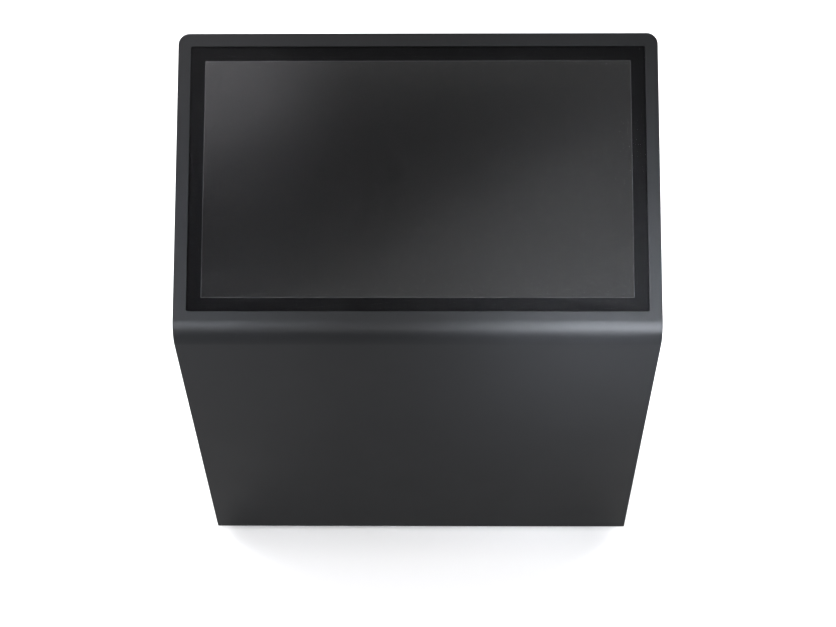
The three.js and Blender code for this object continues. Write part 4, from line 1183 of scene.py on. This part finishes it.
def build_supply():
    """A caged power supply: a perforated cover, parts seen through it that are painted near black as shade,
    and a terminal strip.
    """
    low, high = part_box("power_supply")
    case_x = high.x - 12 * MM
    case = bmesh.new()
    wall = 1 * MM
    outline = rounded_outline(low.x, case_x, low.y, high.y, 1.5 * MM, 3)
    inside = rounded_outline(low.x + wall, case_x - wall, low.y + wall, high.y - wall, 0.8 * MM, 3)
    add_slab(case, outline, low.z, high.z - 0.01 * MM, inside)
    piece("supply_case", case, ALUMINIUM, "cabinet", None, 0.4 * MM)
    cover = bmesh.new()
    pitch = 7 * MM
    columns = int((case_x - low.x - 2 * wall) / pitch)
    rows = int((high.y - low.y - 2 * wall) / pitch)
    start = ((low.x + case_x - columns * pitch) / 2, (low.y + high.y - rows * pitch) / 2)
    add_perforated(cover, start, columns, rows, pitch, 2.3 * MM, high.z, wall)
    made = piece("supply_cover", cover, ALUMINIUM, "cabinet")
    made.modifiers.clear()
    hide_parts("power_supply")
    # The insides: a block up to the deck with capacitors and parts on it, all in a near black that is painted
    # shade over their own dark colours.
    filling = bmesh.new()
    deck = high.z - 9 * MM
    add_block(filling, (low.x + wall, low.y + wall, low.z), (case_x - wall, high.y - wall, deck))
    capacitor = [(0, 0), (8 * MM, 0), (8 * MM, 7 * MM), (7 * MM, 7.8 * MM), (0, 7.8 * MM)]
    for i in range(5):
        x = low.x + (26 + 34 * i) * MM
        add_lathe(filling, capacitor, (x, low.y + 30 * MM, deck), 24)
        back, front = low.y + 58 * MM, low.y + 92 * MM
        add_block(filling, (x - 9 * MM, back, deck), (x + 11 * MM, front, high.z - 2 * MM))
    piece("supply_inside", filling, INSIDE_PAINTED_SHADE, "cabinet", None, 0.5 * MM)
    terminals = bmesh.new()
    y0, y1 = low.y + 8 * MM, high.y - 8 * MM
    add_block(terminals, (case_x - 0.5 * MM, y0, low.z), (high.x, y1, low.z + 9 * MM))
    count = 9
    for i in range(count + 1):
        y = y0 + (y1 - y0 - 1.2 * MM) * i / count
        add_block(terminals, (case_x - 0.4 * MM, y, low.z + 8 * MM), (high.x, y + 1.2 * MM, low.z + 16 * MM))
    piece("supply_terminals", terminals, BLACK, "cabinet", None, 0.3 * MM)
    spots = [(case_x + 6 * MM, y0 + (y1 - y0) * (i + 0.5) / count, low.z + 9 * MM) for i in range(count)]
    screws("supply_screws", spots, None, "cabinet", 3.2 * MM, 2.4 * MM, ZINC)


def build_player():
    """A sealed computer: a finned aluminium lid over a black case, with sockets along its front."""
    low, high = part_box("media_player")
    x0, x1 = low.x + 14 * MM, high.x - 14 * MM
    shoulder = high.z - 13 * MM
    case = bmesh.new()
    add_slab(case, rounded_outline(x0, x1, low.y, high.y, 5 * MM, 5), low.z, shoulder)
    made = piece("player_case", case, BLACK, "cabinet", None, 0.8 * MM)
    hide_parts("media_player")
    ears = bmesh.new()
    for y in (low.y + 20 * MM, high.y - 50 * MM):
        add_slab(ears, rounded_outline(low.x, high.x, y, y + 30 * MM, 4 * MM, 4), low.z, low.z + 2 * MM)
    piece("player_ears", ears, ZINC, "cabinet", None, 0.4 * MM)
    xs, ys = (low.x + 7 * MM, high.x - 7 * MM), (low.y + 35 * MM, high.y - 35 * MM)
    spots = [(x, y, low.z + 2 * MM) for x in xs for y in ys]
    screws("player_screws", spots, None, "cabinet", 3.4 * MM, 1.9 * MM, ZINC)
    lid = bmesh.new()
    add_slab(lid, rounded_outline(x0, x1, low.y, high.y, 5 * MM, 5), shoulder, shoulder + 3 * MM)
    fins = 26
    for i in range(fins):
        x = x0 + 5 * MM + (x1 - x0 - 12 * MM) * i / (fins - 1)
        add_block(lid, (x, low.y + 6 * MM, shoulder + 2.5 * MM), (x + 2 * MM, high.y - 6 * MM, high.z))
    piece("player_lid", lid, MODULE, "cabinet", None, 0.4 * MM)
    sockets = bmesh.new()
    for dx, wide, tall in ((30, 16, 11), (58, 13, 6), (84, 13, 6), (118, 15, 6), (150, 30, 9)):
        x = x0 + dx * MM
        z = low.z + 16 * MM
        outer = [(-wide / 2, 0), (wide / 2, 0), (wide / 2, tall), (-wide / 2, tall)]
        inner = [(0.86 * px, 0.07 * tall + 0.86 * pz) for px, pz in outer]
        rings = []
        for loop, depth in ((outer, 0), (outer, 0.05 * MM), (inner, 0.05 * MM)):
            rings.append([sockets.verts.new((x + px * MM, high.y - depth, z + pz * MM)) for px, pz in loop])
        bridge(sockets, rings[0], rings[2])
        bridge(sockets, rings[0], rings[1])
    piece("player_sockets", sockets, STEEL, "cabinet")


build_supply()
build_player()


# ---- circuit boards' small parts
def add_chip(mesh, x, y, half_x, half_y, level, height):
    """A block standing out of a board's back, whose face is at level."""
    add_block(mesh, (x - half_x, y - half_y, level - height), (x + half_x, y + half_y, level))


def build_board(node, seed):
    """Chips, ceramic and electrolytic capacitors in rows on the back of a board."""
    low, high = local_box(node, HEAD)
    level = board_face(node)
    chips, tins = bmesh.new(), bmesh.new()
    width, height = high.x - low.x, high.y - low.y
    columns, rows = int(width / (9 * MM)), int(height / (8 * MM))
    for column in range(1, columns - 1):
        for row in range(1, rows - 1):
            pick = (column * 7 + row * 13 + seed * 5 + column * row) % 11
            x = low.x + width * (column + 0.5) / columns
            y = low.y + height * (row + 0.5) / rows
            if pick in (1, 4, 8):
                half = (0.8 + 0.5 * (pick % 3)) * MM
                add_chip(chips, x, y, half, half * 0.55, level, 1.1 * MM)
            elif pick == 2:
                add_chip(chips, x, y, 2.6 * MM, 2.0 * MM, level, 1.4 * MM)
            elif pick == 6:
                r = 2.3 * MM
                section = [(0, 0), (r, 0), (r, -4.6 * MM), (r * 0.86, -5.2 * MM), (0, -5.2 * MM)]
                add_lathe(tins, section, (x, y, level), 16)
    piece(f"{node}_chips", chips, BLACK, "cabinet", HEAD, 0.12 * MM, 1)
    if tins.verts:
        piece(f"{node}_tins", tins, ALUMINIUM, "cabinet", HEAD, 0.2 * MM, 1)
    else:
        tins.free()


def board_face(node):
    """The depth of a board's back face: the level that most of its points share."""
    inverse = HEAD.inverted()
    counts = {}
    for vertex in nodes[node].data.vertices:
        level = round((inverse @ vertex.co).z, 5)
        counts[level] = counts.get(level, 0) + 1
    front = local_box(node, HEAD)[1].z
    return max((level for level in counts if level < front - 1 * MM), key=lambda level: counts[level])


build_board("display_board", 1)
build_board("touch_controller", 2)


# ---- washers on the base plate's anchor holes
def build_anchor_washers():
    """One washer on each hole; the holes are in line with the feet."""
    mesh = bmesh.new()
    underside, top = 22.05 * MM, 23.65 * MM
    for x in (-350 * MM, 350 * MM):
        for row in ("front", "rear"):
            y = sum(corner.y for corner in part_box(f"levelling_foot_{row}_left")) / 2
            add_slab(mesh, circle(15 * MM, 28, x, y), underside, top, circle(7.4 * MM, 28, x, y))
    piece("anchor_washers", mesh, ZINC, "cabinet", None, 0.3 * MM)


build_anchor_washers()

# ---- studio
def area_light(name, place, aim, size, energy, colour=(1, 1, 1), spread=180, roll=0):
    """A rectangular light at place that faces aim; roll turns it about that line, in degrees."""
    data = bpy.data.lights.new(name, "AREA")
    data.spread = math.radians(spread)
    data.shape = "RECTANGLE"
    data.size, data.size_y = size
    data.energy = energy
    data.color = colour
    light = add_object(name, data)
    light.location = place
    light.visible_camera = False
    facing = (Vector(aim) - Vector(place)).to_track_quat("-Z", "Y").to_matrix()
    light.rotation_euler = (facing @ Matrix.Rotation(math.radians(roll), 3, "Z")).to_euler()


def studio_floor():
    mesh = bmesh.new()
    reach, level = 14.0, -0.5 * MM
    corners = ((-reach, -reach), (reach, -reach), (reach, reach), (-reach, reach))
    mesh.faces.new([mesh.verts.new((x, y, level)) for x, y in corners])
    data = bpy.data.meshes.new("studio_floor")
    mesh.to_mesh(data)
    mesh.free()
    data.materials.append(FLOOR)
    add_object("studio_floor", data)


def studio_world():
    """A dim white surround."""
    world = bpy.data.worlds.new("studio")
    world.use_nodes = True
    background = world.node_tree.nodes["Background"]
    background.inputs["Color"].default_value = (1.0, 1.0, 1.0, 1)
    background.inputs["Strength"].default_value = 0.18
    bpy.context.scene.world = world


studio_floor()
studio_world()
bpy.context.scene.view_settings.view_transform = "Standard"
COOL = (0.86, 0.91, 1.0)
VIOLET = (0.96, 0.94, 1.0)
DIAGONAL = 29.8  # the slope of the screen's own diagonal, so the boxes' edges cross the glass along it

# Each light's name, place, aim, size, watts, colour, spread and roll.
for side, x in (("left", -4.0), ("right", 4.0)):
    area_light(f"rear_{side}", (x, 3.2, 1.8), (0, 0.3, 0.7), (2.0, 2.0), 300)
area_light("overhead", (0, 3.2, 4.5), (0, 0.3, 0), (6.0, 4.0), 230)
area_light("front_floor", (0, -4.4, 2.4), (0, -0.9, 0), (3.0, 1.2), 62, spread=110)
area_light("front_fill", (0, -4.6, 1.3), (0, 0, 0.6), (4.0, 1.4), 20)

# Soft boxes that the screen and the top edge mirror.
area_light("screen_box", (0.37, -1.93, 3.3), (0.37, -1.0, 2.2), (2.6, 1.2), 29, spread=120, roll=DIAGONAL)
area_light("corner_box", (-1.05, -0.45, 3.3), (-1.05, -0.449, 0), (0.7, 1.3), 31, VIOLET, 160, DIAGONAL)
area_light("top_edge", (0, -0.55, 3.3), (0, -0.1, 1.2), (2.2, 0.3), 3.6, spread=80)

# Narrow boxes that the bend mirrors near its two ends.
area_light("right_low", (0.70, -2.27, 1.36), (0.44, -0.30, 0.90), (0.35, 0.5), 3.6, COOL, 26)
area_light("right_middle", (0.72, -2.10, 1.82), (0.44, -0.30, 0.90), (0.35, 0.5), 3.2, COOL, 26)
area_light("right_high", (0.72, -1.82, 2.22), (0.44, -0.28, 0.95), (0.35, 0.5), 4.1, COOL, 26)
area_light("left_low", (-0.95, -2.11, 1.79), (-0.52, -0.30, 0.92), (0.35, 0.6), 0.8, COOL, 26)
area_light("left_high", (-0.95, -1.82, 2.22), (-0.54, -0.20, 1.00), (0.35, 0.6), 3.0, COOL, 30)
